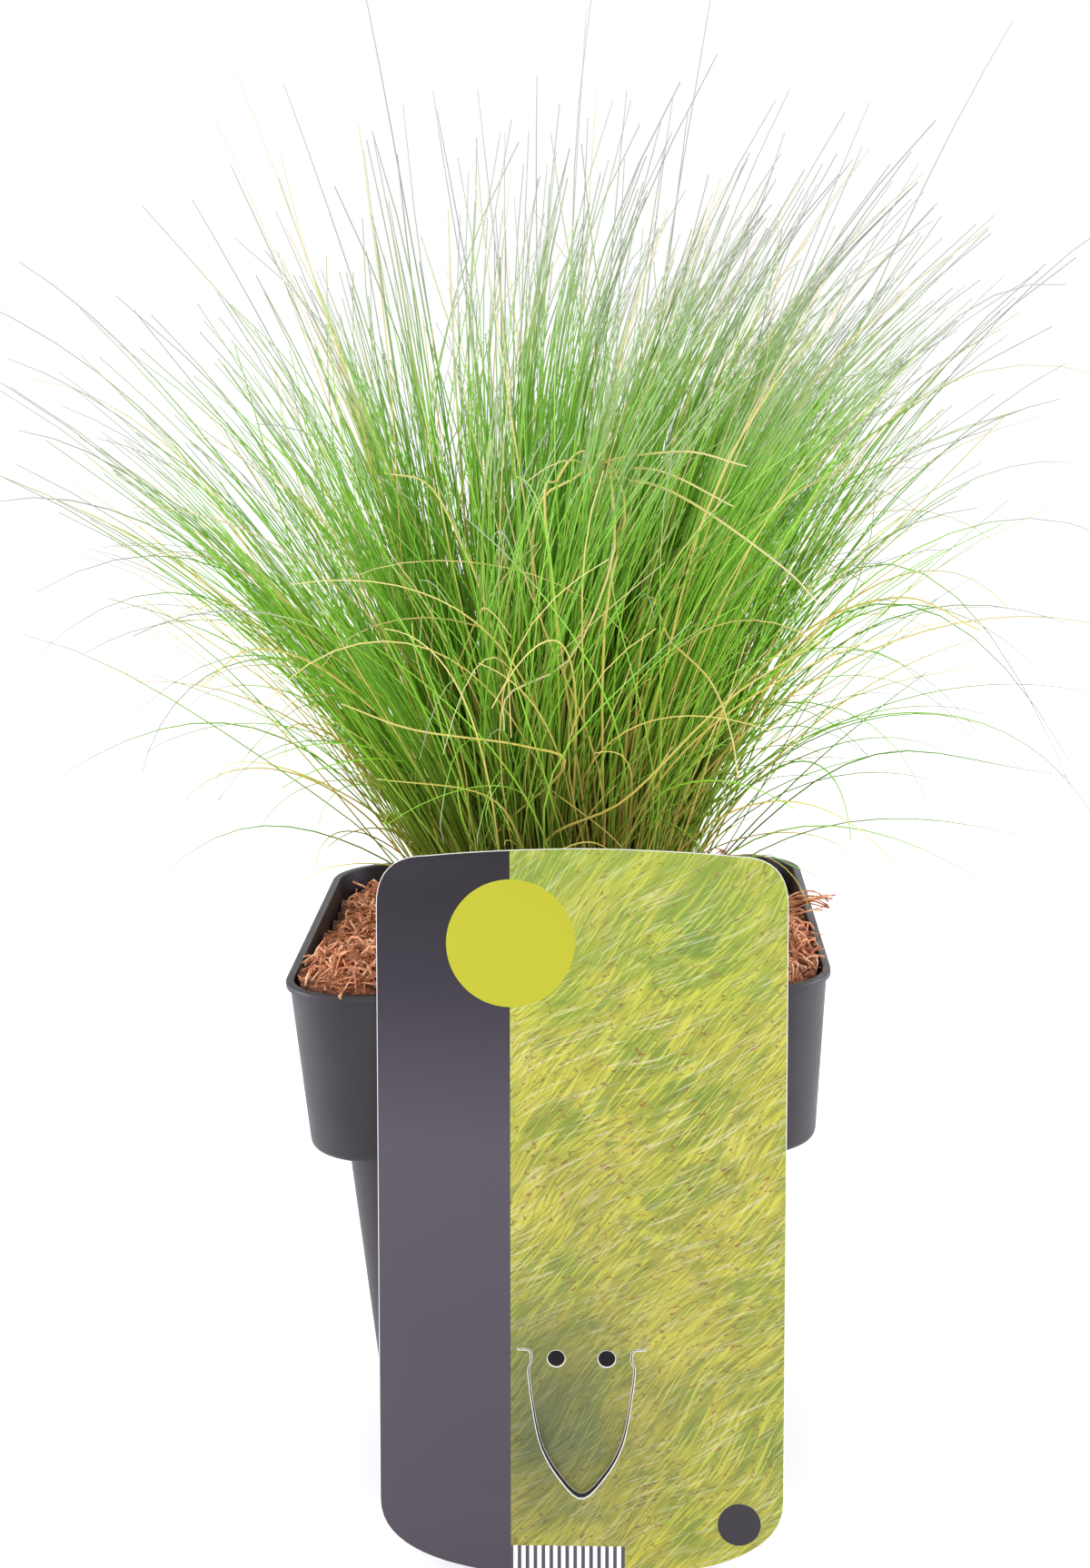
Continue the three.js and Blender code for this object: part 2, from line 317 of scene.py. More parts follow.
@dataclass(frozen=True)
class MouldedPolypropylene:
    """Injection-moulded black polypropylene: satin, with a fine mould grain and dry scuffs."""

    colour: str = "#1f1b20"
    scuffed: str = "#312d36"
    scuff_mm: float = 9.0
    scuff_share: float = 0.55  # of the scuffed colour, on the most worn places
    # Noise levels between which the colour wears, and between which the gloss does.
    scuff_levels: Pair = (0.45, 0.75)
    dull_levels: Pair = (0.3, 0.7)
    roughness: Pair = (0.39, 0.54)  # of fresh and of worn places
    gloss: float = 0.44
    ior: float = 1.49
    grain_mm: float = 0.35
    grain_depth_mm: float = 0.05
    grain_strength: float = 0.12

    def build(self) -> Material:
        """Builds the material: grain breaks up the highlight, and scuffs grey the faces a little.

        Returns:
            The material.
        """
        # To the eye: near-black satin with a soft, broken highlight, greyer where it is scuffed.
        material, add, shader = new_material("polypropylene_injection_moulded")
        place = add("ShaderNodeTexCoord").outputs["Object"]
        scuff = add(
            "ShaderNodeTexNoise",
            {"Vector": place, "Scale": 1 / (self.scuff_mm * MM), "Detail": 6.0, "Roughness": 0.65},
        ).outputs["Fac"]
        low, high = self.scuff_levels
        worn = add(
            "ShaderNodeMapRange",
            {"Value": scuff, "From Min": low, "From Max": high, "To Max": self.scuff_share},
        ).outputs["Result"]
        colour = add(
            "ShaderNodeMix",
            {"Factor": worn, 6: linear(self.colour), 7: linear(self.scuffed)},
            data_type="RGBA",
        ).outputs[2]
        low, high = self.dull_levels
        fresh, dull = self.roughness
        rough = add(
            "ShaderNodeMapRange",
            {"Value": scuff, "From Min": low, "From Max": high, "To Min": fresh, "To Max": dull},
        ).outputs["Result"]
        grain = add(
            "ShaderNodeTexNoise", {"Vector": place, "Scale": 1 / (self.grain_mm * MM), "Detail": 2.0}
        ).outputs["Fac"]
        relief = add(
            "ShaderNodeBump",
            {"Height": grain, "Strength": self.grain_strength, "Distance": self.grain_depth_mm * MM},
        ).outputs["Normal"]
        surface = {"Base Color": colour, "Roughness": rough, "Normal": relief}
        feed(shader, {**surface, "IOR": self.ior, "Specular IOR Level": self.gloss})
        return material


@dataclass(frozen=True)
class Fibrous:
    """Loose plant matter, such as coir, peat or crown tissue: matt, mottled and rough."""

    name: str
    dark: str
    middle: str
    light: str
    mottle_mm: float
    levels: tuple = (0.36, 0.5, 0.64)  # of the noise, for the three colours
    roughness: float = 0.85
    relief_depth_mm: float = 0.4
    relief_strength: float = 0.6

    def build(self) -> Material:
        """Builds the material: one noise gives both the mottle and the crumbly bump.

        Returns:
            The material.
        """
        material, add, shader = new_material(self.name)
        place = add("ShaderNodeTexCoord").outputs["Object"]
        mottle = add(
            "ShaderNodeTexNoise",
            {"Vector": place, "Scale": 1 / (self.mottle_mm * MM), "Detail": 4.0, "Roughness": 0.7},
        ).outputs["Fac"]
        stops = tuple(zip(self.levels, (self.dark, self.middle, self.light)))
        colour = add("ShaderNodeValToRGB", {"Fac": mottle}, stops).outputs["Color"]
        relief = add(
            "ShaderNodeBump",
            {"Height": mottle, "Strength": self.relief_strength, "Distance": self.relief_depth_mm * MM},
        ).outputs["Normal"]
        feed(shader, {"Base Color": colour, "Normal": relief, "Roughness": self.roughness})
        return material


@dataclass(frozen=True)
class GrownBlade:
    """Living and dead grass blades: smooth, waxy and slightly glossy, paler towards the tip, partly dry and
    partly painted light shining through the thin tip.

    A blade's colour follows two numbers that its mesh carries: "tone", one value for each
    blade, and "along", the way from its foot as a share of the longest blade. Tones up to
    dead_share are straw.
    """

    dead_share: float = 0.16
    roughness: float = 0.6
    gloss: float = 0.25
    # The greys at the ends of the deep and bright runs make the pale tips: part dry tissue, part painted
    # light shining through the thin blade.
    deep: tuple = (
        (0.0, "#86733f"), (0.05, "#79792d"), (0.16, "#64781e"), (0.38, "#598d18"),
        (0.66, "#649c29"), (0.82, "#889f6c"), (0.96, "#8f9189"),
    )
    bright: tuple = (
        (0.0, "#a39259"), (0.05, "#9f9d49"), (0.16, "#9bb341"), (0.38, "#97d13a"),
        (0.68, "#9cd64d"), (0.84, "#aac38a"), (0.98, "#b0b3a8"),
    )
    straw: tuple = (
        (0.0, "#8a6c3e"), (0.12, "#aa9846"), (0.4, "#c9bb5c"), (0.7, "#d4c87c"), (1.0, "#cfc6a0"),
    )

    def build(self) -> Material:
        """Builds the material: three colour runs along the blade, chosen by the blade's tone.

        Returns:
            The material.
        """
        # To the eye: fresh green threads with a faint sheen of wax, brown at the foot and pale grey at the
        # tip, where dryness and painted light shining through the thin tip mix, and warm straw where the
        # blade is dead.
        material, add, shader = new_material("grass_blade_grown")
        tone, along = (
            add("ShaderNodeAttribute", attribute_name=name).outputs["Fac"] for name in ("tone", "along")
        )
        deep, bright, straw = (
            add("ShaderNodeValToRGB", {"Fac": along}, stops).outputs["Color"]
            for stops in (self.deep, self.bright, self.straw)
        )
        lively = add(
            "ShaderNodeMapRange", {"Value": tone, "From Min": self.dead_share, "From Max": 1.0}
        ).outputs["Result"]
        green = add("ShaderNodeMix", {"Factor": lively, 6: deep, 7: bright}, data_type="RGBA").outputs[2]
        dead = all_hold(add, (tone, "LESS_THAN", self.dead_share))
        colour = add("ShaderNodeMix", {"Factor": dead, 6: green, 7: straw}, data_type="RGBA").outputs[2]
        surface = {"Base Color": colour, "Roughness": self.roughness}
        feed(shader, {**surface, "Specular IOR Level": self.gloss})
        return material


@dataclass(frozen=True)
class PrintedCard:
    """Offset-printed polystyrene card under a clear gloss varnish, with bare white edges.

    The print is generic: a dark stripe, painted lighter towards its foot as a reflection in the gloss
    varnish, a plain lime disc, streaks of a meadow and a ruled panel.
    It is drawn in the card's own "CardFace" map, which holds mm / scale_mm from the lowest point.
    """

    scale_mm: float = 120.0
    band_edge: float = -11.5
    # Near-black ink of the dark stripe, painted lighter from the foot up to 0.6 of the card's height: a
    # painted reflection of the lights in the gloss varnish.
    band_ink_and_painted_sheen: tuple = ((0.0, "#413b46"), (0.6, "#48424e"), (0.82, "#29242f"), (0.93, "#1d1822"))
    disc: str = "#a9a822"
    disc_at: Pair = (-11.4, 104.7)
    disc_radius: float = 10.3
    spot: str = "#2a262f"
    spot_at: Pair = (25.7, 9.3)
    spot_radius: float = 3.5
    panel: str = "#e9e8ea"
    panel_ink: str = "#4a444e"
    panel_right: float = 7.1
    panel_top: float = 5.4
    bar_pitch: float = 1.3
    bar_width: float = 0.6
    ground: tuple = ((0.28, "#5f7a26"), (0.42, "#84902f"), (0.55, "#a09a38"), (0.7, "#b8ae4a"))
    ground_scale: float = 0.07  # patches of the ground, per mm
    sway: float = 12.0  # mm that the wind bends the meadow by
    sway_scale: float = 0.028  # gusts, per mm
    haze: str = "#8fae4e"
    haze_heights: Pair = (84.0, 122.0)
    haze_strength: float = 0.3
    # Ink, place, reach in mm and strength of the two soft patches in the meadow.
    patches: tuple = (("#7a6a46", (10.0, 42.0), 58.0, 0.3), ("#3d4636", (-1.0, 31.0), 27.0, 0.85))
    # Ink, strength, turn from the level in degrees, length and width of a blade in mm, share
    # of the meadow that the layer covers, and its salt in mm.
    layers: tuple = (
        ("#5a7824", 0.4, 40.0, (30.0, 7.0), 0.4, 3.0),
        ("#bdb83c", 0.5, 30.0, (26.0, 6.0), 0.5, 41.0),
        ("#5c7a2a", 0.5, 46.0, (11.0, 0.6), 0.45, 87.0),
        ("#cfc596", 0.35, 22.0, (12.0, 1.4), 0.14, 129.0),
        ("#56662c", 0.5, 34.0, (8.0, 0.34), 0.4, 171.0),
        ("#d0cc4a", 0.55, 52.0, (11.0, 0.34), 0.45, 211.0),
        ("#7d4a26", 0.85, 24.0, (1.1, 0.55), 0.15, 257.0),
        ("#ded6b2", 0.45, 28.0, (11.0, 0.28), 0.25, 301.0),
        ("#7f8f34", 0.45, 60.0, (9.0, 0.4), 0.4, 347.0),
    )
    # Noise level at which a layer's ink would start with no share, how far a full share lowers
    # it, and the step from bare to full ink.
    streak_level: float = 0.66
    streak_cover: float = 0.3
    streak_edge: float = 0.09
    roughness: float = 0.35
    gloss: float = 0.4
    ior: float = 1.45

    def build(self) -> Material:
        """Builds the printed face: every motif is a mask on the card's own map.

        Returns:
            The material.
        """
        # To the eye: flat, crisp inks under an even gloss that catches the lights softly.
        material, add, shader = new_material("polystyrene_card_offset_printed")
        face = add("ShaderNodeUVMap", uv_map="CardFace").outputs["UV"]
        place = add(
            "ShaderNodeVectorMath", {0: face, "Scale": self.scale_mm}, operation="SCALE"
        ).outputs["Vector"]
        split = add("ShaderNodeSeparateXYZ", {"Vector": place}).outputs
        across, up = split["X"], split["Y"]
        share = add("ShaderNodeMath", {0: up, 1: self.scale_mm}, operation="DIVIDE").outputs[0]
        # Dark stripe: its ink with the painted reflection, lighter lower down.
        band_ink_and_painted_sheen = add("ShaderNodeValToRGB", {"Fac": share}, self.band_ink_and_painted_sheen).outputs["Color"]
        colour = self._meadow(add, place, up)
        colour = self._over(add, colour, band_ink_and_painted_sheen, all_hold(add, (across, "LESS_THAN", self.band_edge)))
        rounds = ((self.disc, self.disc_at, self.disc_radius), (self.spot, self.spot_at, self.spot_radius))
        for ink, centre, radius in rounds:
            away = self._distance(add, place, centre)
            colour = self._over(add, colour, ink, all_hold(add, (away, "LESS_THAN", radius)))
        colour = self._ruled_panel(add, colour, across, up)
        surface = {"Base Color": colour, "Roughness": self.roughness}
        feed(shader, {**surface, "IOR": self.ior, "Specular IOR Level": self.gloss})
        return material

    @staticmethod
    def _over(add: Adder, below: Socket, ink: str | Socket, mask: Socket) -> Socket:
        """Prints an ink over a colour where a mask is set."""
        inputs = {"Factor": mask, 6: below, 7: linear(ink) if isinstance(ink, str) else ink}
        return add("ShaderNodeMix", inputs, data_type="RGBA").outputs[2]

    @staticmethod
    def _distance(add: Adder, place: Socket, centre: Pair) -> Socket:
        """Distance from a place on the card to a centre, mm."""
        inputs = {0: place, 1: (*centre, 0.0)}
        return add("ShaderNodeVectorMath", inputs, operation="DISTANCE").outputs["Value"]

    def _ruled_panel(self, add: Adder, below: Socket, across: Socket, up: Socket) -> Socket:
        """White panel at the foot with evenly spaced upright bars.

        Args:
            add: Adds a node to the material.
            below: Colour that it is printed over.
            across: Place across the card, mm.
            up: Height on the card, mm.

        Returns:
            The colour with the panel on it.
        """
        inside = (
            (up, "LESS_THAN", self.panel_top),
            (across, "GREATER_THAN", self.band_edge),
            (across, "LESS_THAN", self.panel_right),
        )
        rung = add("ShaderNodeMath", {0: across, 1: self.bar_pitch}, operation="FLOORED_MODULO").outputs[0]
        bars = all_hold(add, *inside, (rung, "LESS_THAN", self.bar_width))
        white = self._over(add, below, self.panel, all_hold(add, *inside))
        return self._over(add, white, self.panel_ink, bars)

    def _streaks(
        self, add: Adder, place: Socket, turn: float, size: Pair, share: float, salt: float
    ) -> Socket:
        """Mask of thin blades that all lie one way.

        Args:
            add: Adds a node to the material.
            place: Place on the card, mm.
            turn: Direction of the blades from the level, degrees.
            size: Length and width of a blade, mm.
            share: Share of the field that they cover, roughly.
            salt: Shift that makes this layer differ from the others, mm.

        Returns:
            Mask from 0 to 1.
        """
        laid = add(
            "ShaderNodeMapping",
            {
                "Vector": place,
                "Location": (salt, salt, 0),
                "Rotation": (0, 0, math.radians(turn)),
                "Scale": (*size, 1),
            },
            vector_type="TEXTURE",
        ).outputs["Vector"]
        grown = add("ShaderNodeTexNoise", {"Vector": laid, "Scale": 1.0, "Detail": 1.5}).outputs["Fac"]
        edge = self.streak_level - self.streak_cover * share
        return add(
            "ShaderNodeMapRange", {"Value": grown, "From Min": edge, "From Max": edge + self.streak_edge}
        ).outputs["Result"]

    def _meadow(self, add: Adder, place: Socket, up: Socket) -> Socket:
        """A generic meadow in the wind: layers of thin blades over a soft green ground.

        Args:
            add: Adds a node to the material.
            place: Place on the card, mm.
            up: Height on the card, mm.

        Returns:
            Its colour.
        """
        drift = add(
            "ShaderNodeTexNoise", {"Vector": place, "Scale": self.sway_scale, "Detail": 1.0}
        ).outputs["Color"]
        sway = add(
            "ShaderNodeVectorMath", {0: drift, "Scale": self.sway}, operation="SCALE"
        ).outputs["Vector"]
        bent = add("ShaderNodeVectorMath", {0: place, 1: sway}).outputs["Vector"]
        ground = add(
            "ShaderNodeTexNoise", {"Vector": bent, "Scale": self.ground_scale, "Detail": 3.0}
        ).outputs["Fac"]
        colour = add("ShaderNodeValToRGB", {"Fac": ground}, self.ground).outputs["Color"]
        for ink, strength, turn, size, share, salt in self.layers:
            mask = self._streaks(add, bent, turn, size, share, salt)
            worn = add("ShaderNodeMath", {0: mask, 1: strength}, operation="MULTIPLY")
            colour = self._over(add, colour, ink, worn.outputs[0])
        low, high = self.haze_heights
        far = add(
            "ShaderNodeMapRange",
            {"Value": up, "From Min": low, "From Max": high, "To Max": self.haze_strength},
        ).outputs["Result"]
        colour = self._over(add, colour, self.haze, far)
        for ink, centre, reach, strength in self.patches:
            near = add(
                "ShaderNodeMapRange",
                {
                    "Value": self._distance(add, bent, centre),
                    "From Max": reach,
                    "To Min": strength,
                    "To Max": 0.0,
                },
            ).outputs["Result"]
            colour = self._over(add, colour, ink, near)
        return colour


@dataclass(frozen=True)
class BareCard:
    """Unprinted white polystyrene: the card's cut edges and its back."""

    colour: str = "#e4e3df"
    fleck: str = "#d9d8d3"
    fleck_mm: float = 2.5
    roughness: float = 0.35

    def build(self) -> Material:
        """Builds the material: a faint mottle in a smooth white sheet.

        Returns:
            The material.
        """
        # To the eye: a clean, slightly warm white with a smooth sheen.
        material, add, shader = new_material("polystyrene_card_bare")
        place = add("ShaderNodeTexCoord").outputs["Object"]
        mottle = add(
            "ShaderNodeTexNoise", {"Vector": place, "Scale": 1 / (self.fleck_mm * MM)}
        ).outputs["Fac"]
        stops = ((0.3, self.fleck), (0.7, self.colour))
        colour = add("ShaderNodeValToRGB", {"Fac": mottle}, stops).outputs["Color"]
        feed(shader, {"Base Color": colour, "Roughness": self.roughness})
        return material


@dataclass(frozen=True)
class SweepPaper:
    """Matt white paper of the studio floor, with a faint glow of its own."""

    colour: str = "#f4f4f4"
    roughness: float = 0.9
    glow: float = 0.16

    def build(self) -> Material:
        """Builds the material: one even colour.

        Returns:
            The material.
        """
        # To the eye: a white ground without a horizon, on which the shadow stays soft.
        material, add, shader = new_material("paper_sweep_matt")
        surface = {"Base Color": linear(self.colour), "Roughness": self.roughness}
        feed(shader, {**surface, "Emission Color": WHITE, "Emission Strength": self.glow})
        return material


# ------------ pot


@dataclass
class NurseryPot:
    """Square pot: lip, deep collar, ledge and tapered lower body, with drain holes in its floor."""

    rim_width: float = 90.0
    rim_corner: float = 12.0
    height: float = 96.0
    wall: float = 0.8
    lip_depth: float = 1.2
    lip_overhang: float = 0.6
    collar_height: float = 29.5
    collar_taper: float = 2.0
    collar_step: float = 5.8
    ledge_rise: float = 0.8
    foot_width: float = 63.6
    body_corner: float = 8.5
    floor: float = 1.4
    drain_radius: float = 3.6
    drain_reach: float = 17.5
    drain_rod: float = 6.0  # length of the rods that cut the holes
    edge_round: float = 1.3
    foot_round: float = 0.9
    lip_round: float = 0.35
    under_lip_round: float = 0.3
    floor_shelf: float = 2.0  # how far the inner floor is drawn in before it is capped
    round_ease: float = 1.3  # place of the ring that eases into a rounding, in roundings
    round_steps: int = 5

    def collar_half(self, height: float) -> float:
        """Half width of the collar's outer face at a height, mm."""
        slope = self.collar_taper / self.collar_height
        return self.rim_width / 2 - self.lip_overhang - (self.height - height) * slope

    def profile(self) -> list[tuple[float, float, float, float]]:
        """Corners of the wall's section, from the foot up outside and down inside.

        Returns:
            Height, half width, corner radius in plan and edge rounding of each corner, mm.
        """
        ledge = self.height - self.collar_height
        collar_foot = self.collar_half(ledge)
        body_top = collar_foot - self.collar_step
        foot = self.foot_width / 2
        lip_low = self.height - self.lip_depth
        rim = self.rim_width / 2
        collar_corner = self.rim_corner - self.lip_overhang
        inner = collar_corner - self.wall
        body_inner = self.body_corner - self.wall
        shelf = self.floor_shelf
        return [
            (0.0, foot - self.foot_round, self.body_corner - self.foot_round, 0.0),
            (0.0, foot, self.body_corner, self.foot_round),
            (ledge - self.ledge_rise, body_top, self.body_corner, self.edge_round),
            (ledge, collar_foot, collar_corner, self.edge_round),
            (lip_low, self.collar_half(lip_low), collar_corner, self.under_lip_round),
            (lip_low, rim, self.rim_corner, self.lip_round),
            (self.height, rim, self.rim_corner, self.lip_round),
            (self.height, self.collar_half(self.height) - self.wall, inner, self.lip_round),
            (ledge + self.wall, collar_foot - self.wall, inner, self.edge_round),
            (ledge - self.ledge_rise + self.wall, body_top - self.wall, body_inner, self.edge_round),
            (self.floor, foot - self.wall, body_inner, self.foot_round),
            (self.floor, foot - self.wall - shelf, body_inner - shelf, 0.0),
        ]

    def rings(self) -> Rings:
        """Outlines of the wall, with every edge of the section rounded.

        Returns:
            Rings from the foot up outside and down inside to the floor, mm.
        """
        corners = np.array(self.profile())
        path = [corners[0, :3]]
        for k in range(1, len(corners) - 1):
            here, reach = corners[k, :3], corners[k, 3]
            back, ahead = corners[k - 1, :3] - here, corners[k + 1, :3] - here
            ends = [v / np.linalg.norm(v[:2]) for v in (back, ahead)]
            path.append(here + ends[0] * reach * self.round_ease)
            for t in np.linspace(0, 1, self.round_steps):
                start, end = here + ends[0] * reach, here + ends[1] * reach
                path.append(start * (1 - t) ** 2 + here * 2 * t * (1 - t) + end * t**2)
            path.append(here + ends[1] * reach * self.round_ease)
        path.append(corners[-1, :3])
        return [square_ring(z, half, corner) for z, half, corner in path]

    def drain_cutter(self, material: Material) -> Object:
        """One object that holds a rod for each drain hole.

        Args:
            material: Finish that the holes' walls get.

        Returns:
            The object, to cut the pot with.
        """
        cutter = bmesh.new()
        radius, length = self.drain_radius * MM, self.drain_rod * MM
        for x in (-1, 0, 1):
            for y in (-1, 0, 1):
                if x or y:
                    rod = bmesh.ops.create_cone(
                        cutter, cap_ends=True, segments=32, depth=length, radius1=radius, radius2=radius
                    )
                    shift = (x * self.drain_reach * MM, y * self.drain_reach * MM, 0)
                    bmesh.ops.translate(cutter, verts=rod["verts"], vec=shift)
        mesh = bpy.data.meshes.new("drain_cutter")
        cutter.to_mesh(mesh)
        cutter.free()
        mesh.materials.append(material)
        return linked("drain_cutter", mesh)

    def build(self) -> None:
        """Builds the moulded shell and hands it in for the CAD pot."""
        material = MouldedPolypropylene().build()
        shell = mesh_piece("nursery_pot", *lofted(self.rings()), material)
        rods = self.drain_cutter(material)
        cut = shell.modifiers.new("drains", "BOOLEAN")
        cut.object = rods
        cut.operation = "DIFFERENCE"
        cut.solver = "EXACT"
        apply_modifiers(shell)
        bpy.data.objects.remove(rods)
        smooth_by_angle(shell)
        hand_in(shell, "pot_plastic", "pot")


# ------------ soil, mulch and crown


@dataclass
class PotFilling:
    """Peat root ball, coir mulch and the crown that the shoots grow from."""

    pot: NurseryPot = field(default_factory=NurseryPot)
    bed_foot: float = 83.0
    bed_top: float = 92.6
    front_rise: float = 2.6
    # Place, reach and rise of the heaps in two of the pot's corners, mm.
    corner_heaps: tuple = ((43.0, -20.0, 19.0, 3.2), (-40.0, -36.0, 12.0, 1.6))
    lump: float = 1.4
    wall_gap: float = 0.5
    crown_radius: float = 19.6
    crown_top: float = 89.5
    crown_cover: float = 3.0  # how deep the bed lies under the crown's top
    bed_rings: int = 40
    ring_points: int = 180
    fibres_per_cm2: float = 92.0
    fibre_length: float = 10.5
    fibre_radius: float = 0.25  # thicker than real coir, so that it shows
    fibre_stretch: Pair = (0.55, 1.25)
    fibre_tilt: float = 0.75  # radians
    # Bend, lift and length of the four kinds of fibre, as shares of the fibre length.
    fibre_bends: tuple = ((0.14, 0.1, 1.0), (0.34, 0.16, 0.8), (-0.24, 0.3, 0.7), (0.1, 0.55, 0.5))
    crumbs_per_cm2: float = 10.0
    crumb_radius: float = 0.9
    crumb_shape: Triple = (1.3, 0.9, 0.5)
    crumb_tilt: float = 3.1  # radians
    scatter_seed: int = 11
    # A fibre shrinks from its full size at wall_reach to a least share at wall_bare, where the
    # bed ends. That share grows over the heights at which fibres may lie over the lip.
    wall_bare: float = 1.2
    wall_reach: float = 7.0
    least_upward: float = 0.5  # upward part of the normal where fibres may lie
    # A fibre at the wall lies lip_rest over the lip if it passes less than lip_near below it.
    lip_near: float = 2.0
    lip_rest: float = 0.4
    lip_heights: Pair = (94.8, 96.3)
    least_sizes: Pair = (0.3, 0.75)
    # Routes of single fibres that stick out over the lip, at the right and at the back.
    strays: tuple = (
        ((34.0, 1.0, 93.0), (40.0, 0.5, 97.6), (44.5, -1.5, 99.0), (47.6, -2.5, 98.0)),
        ((35.0, -2.0, 93.0), (40.5, -0.5, 97.0), (44.0, 0.5, 98.2), (47.4, 2.0, 98.6)),
        ((35.0, 3.0, 93.0), (39.0, 1.0, 96.8), (43.5, -2.5, 98.6), (46.9, -5.5, 98.4)),
        ((33.0, -4.0, 93.2), (38.0, -3.5, 97.4), (43.0, -3.0, 99.4), (48.2, -1.0, 99.2)),
        ((36.0, 0.0, 93.0), (41.0, 1.5, 98.2), (45.0, 3.5, 98.4), (47.8, 4.0, 97.2)),
        ((34.5, -7.0, 93.0), (39.0, -6.0, 96.6), (43.6, -5.0, 97.6), (46.2, -3.6, 97.8)),
        ((30.0, 36.0, 92.6), (31.5, 41.0, 96.8), (29.0, 46.4, 97.2)),
        ((26.0, 35.0, 92.6), (29.0, 40.5, 97.0), (31.5, 47.0, 96.8)),
    )
    stray_radius: float = 0.16
    stray_copies: int = 2
    stray_shift: float = 0.5
    stray_steps: int = 10
    stray_seed: int = 2

    def bed_height(self, x: np.ndarray, y: np.ndarray) -> np.ndarray:
        """Height of the mulch: lumpy, and heaped towards the front and the walls.

        Args:
            x: Places across, mm.
            y: Places from front to back, mm.

        Returns:
            Heights, mm.
        """
        half = self.pot.collar_half(self.bed_top)
        # Waves of unlike lengths, so that no pattern repeats over the bed.
        lumps = (
            np.sin(x * 0.31 + 1.3) * np.cos(y * 0.27 + 0.4)
            + 0.6 * np.sin(x * 0.83 + y * 0.41)
            + 0.5 * np.cos(y * 0.95 - x * 0.37 + 2.0)
            + 0.7 * np.sin(x * 1.55 + 2.2 * np.sin(y * 0.5)) * np.sin(y * 1.42 + 1.7 * np.cos(x * 0.6))
        )
        heap = self.front_rise * np.clip(-y / half, -0.35, 1.0)
        height = self.bed_top + heap + self.lump * lumps * 0.7
        for centre_x, centre_y, reach, rise in self.corner_heaps:
            away = np.hypot(x - centre_x, y - centre_y) / reach
            height += rise * np.exp(-(away**2))
        hollow = np.clip((self.crown_radius + 1.5 - np.hypot(x, y)) / 3.0, 0, 1)
        return height * (1 - hollow) + (self.crown_top - self.crown_cover) * hollow

    def bed_plan(self, height: float) -> Pair:
        """Half width and corner radius of the mulch at a height, mm."""
        corner = self.pot.rim_corner - self.pot.lip_overhang - self.pot.wall
        return self.pot.collar_half(height) - self.pot.wall - self.wall_gap, corner

    def even_ring(self, height: float, half: float, corner: float) -> np.ndarray:
        """Square outline with round corners and evenly spaced points.

        Args:
            height: Height of the outline, mm.
            half: Half of its width over the flats, mm.
            corner: Its corner radius, mm.

        Returns:
            One row of x, y, z for each point.
        """
        ring = square_ring(height, half, corner)
        ring = np.concatenate([ring, ring[:1]])
        gone = run_lengths(ring)
        return resampled(ring, gone, np.linspace(0, gone[-1], self.ring_points, endpoint=False))

    def bed_rings_in_mm(self) -> Rings:
        """Outlines of the mulch bed, from its foot up the wall and in over its top.

        Returns:
            The rings, mm.
        """
        half, corner = self.bed_plan(self.bed_top)
        rings = [self.even_ring(self.bed_foot, *self.bed_plan(self.bed_foot))]
        for share in np.linspace(1, 0.03, self.bed_rings):
            ring = self.even_ring(self.bed_top, half * share, corner * share)
            ring[:, 2] = self.bed_height(ring[:, 0], ring[:, 1])
            rings.append(ring)
        return rings

    def scatter_tree(self) -> NodeTree:
        """Geometry Nodes that strew bent fibres and crumbs over the bed, shorter near the wall.

        Returns:
            The node tree.
        """
        tree = bpy.data.node_groups.new("coir_scatter", "GeometryNodeTree")
        add = partial(add_node, tree)
        half, corner = self.bed_plan(self.bed_top)
        sockets = (
            ("Geometry", "Geometry", None),
            ("Fibres per m2", "Float", self.fibres_per_cm2 * 1e4),
            ("Crumbs per m2", "Float", self.crumbs_per_cm2 * 1e4),
            ("Fibre Length", "Float", self.fibre_length * MM),
            ("Fibre Radius", "Float", self.fibre_radius * MM),
            ("Half Width", "Float", half * MM),
            ("Corner", "Float", corner * MM),
            ("Crown Radius", "Float", self.crown_radius * MM),
            ("Seed", "Int", self.scatter_seed),
            ("Material", "Material", None),
        )
        for name, kind, default in sockets:
            socket = tree.interface.new_socket(name, in_out="INPUT", socket_type=f"NodeSocket{kind}")
            if default is not None:
                socket.default_value = default
        tree.interface.new_socket("Geometry", in_out="OUTPUT", socket_type="NodeSocketGeometry")
        given = add("NodeGroupInput").outputs
        place = add("GeometryNodeInputPosition").outputs[0]
        split = add("ShaderNodeSeparateXYZ", {"Vector": place}).outputs
        flat = add("ShaderNodeCombineXYZ", {"X": split["X"], "Y": split["Y"]}).outputs[0]
        radius = add("ShaderNodeVectorMath", {0: flat}, operation="LENGTH").outputs["Value"]
        normal = add("GeometryNodeInputNormal").outputs[0]
        upward = add("ShaderNodeSeparateXYZ", {"Vector": normal}).outputs["Z"]
        to_wall = self._to_wall(add, given, flat)
        open_bed = all_hold(
            add,
            (radius, "GREATER_THAN", given["Crown Radius"]),
            (upward, "GREATER_THAN", self.least_upward),
            (to_wall, "GREATER_THAN", self.wall_bare * MM),
        )
        low, high = self.lip_heights
        small, large = self.least_sizes
        least = add(
            "ShaderNodeMapRange",
            {
                "Value": split["Z"],
                "From Min": low * MM,
                "From Max": high * MM,
                "To Min": small,
                "To Max": large,
            },
        ).outputs["Result"]
        room = add(
            "ShaderNodeMapRange",
            {
                "Value": to_wall,
                "From Min": self.wall_bare * MM,
                "From Max": self.wall_reach * MM,
                "To Min": least,
                "To Max": 1.0,
            },
        ).outputs["Result"]
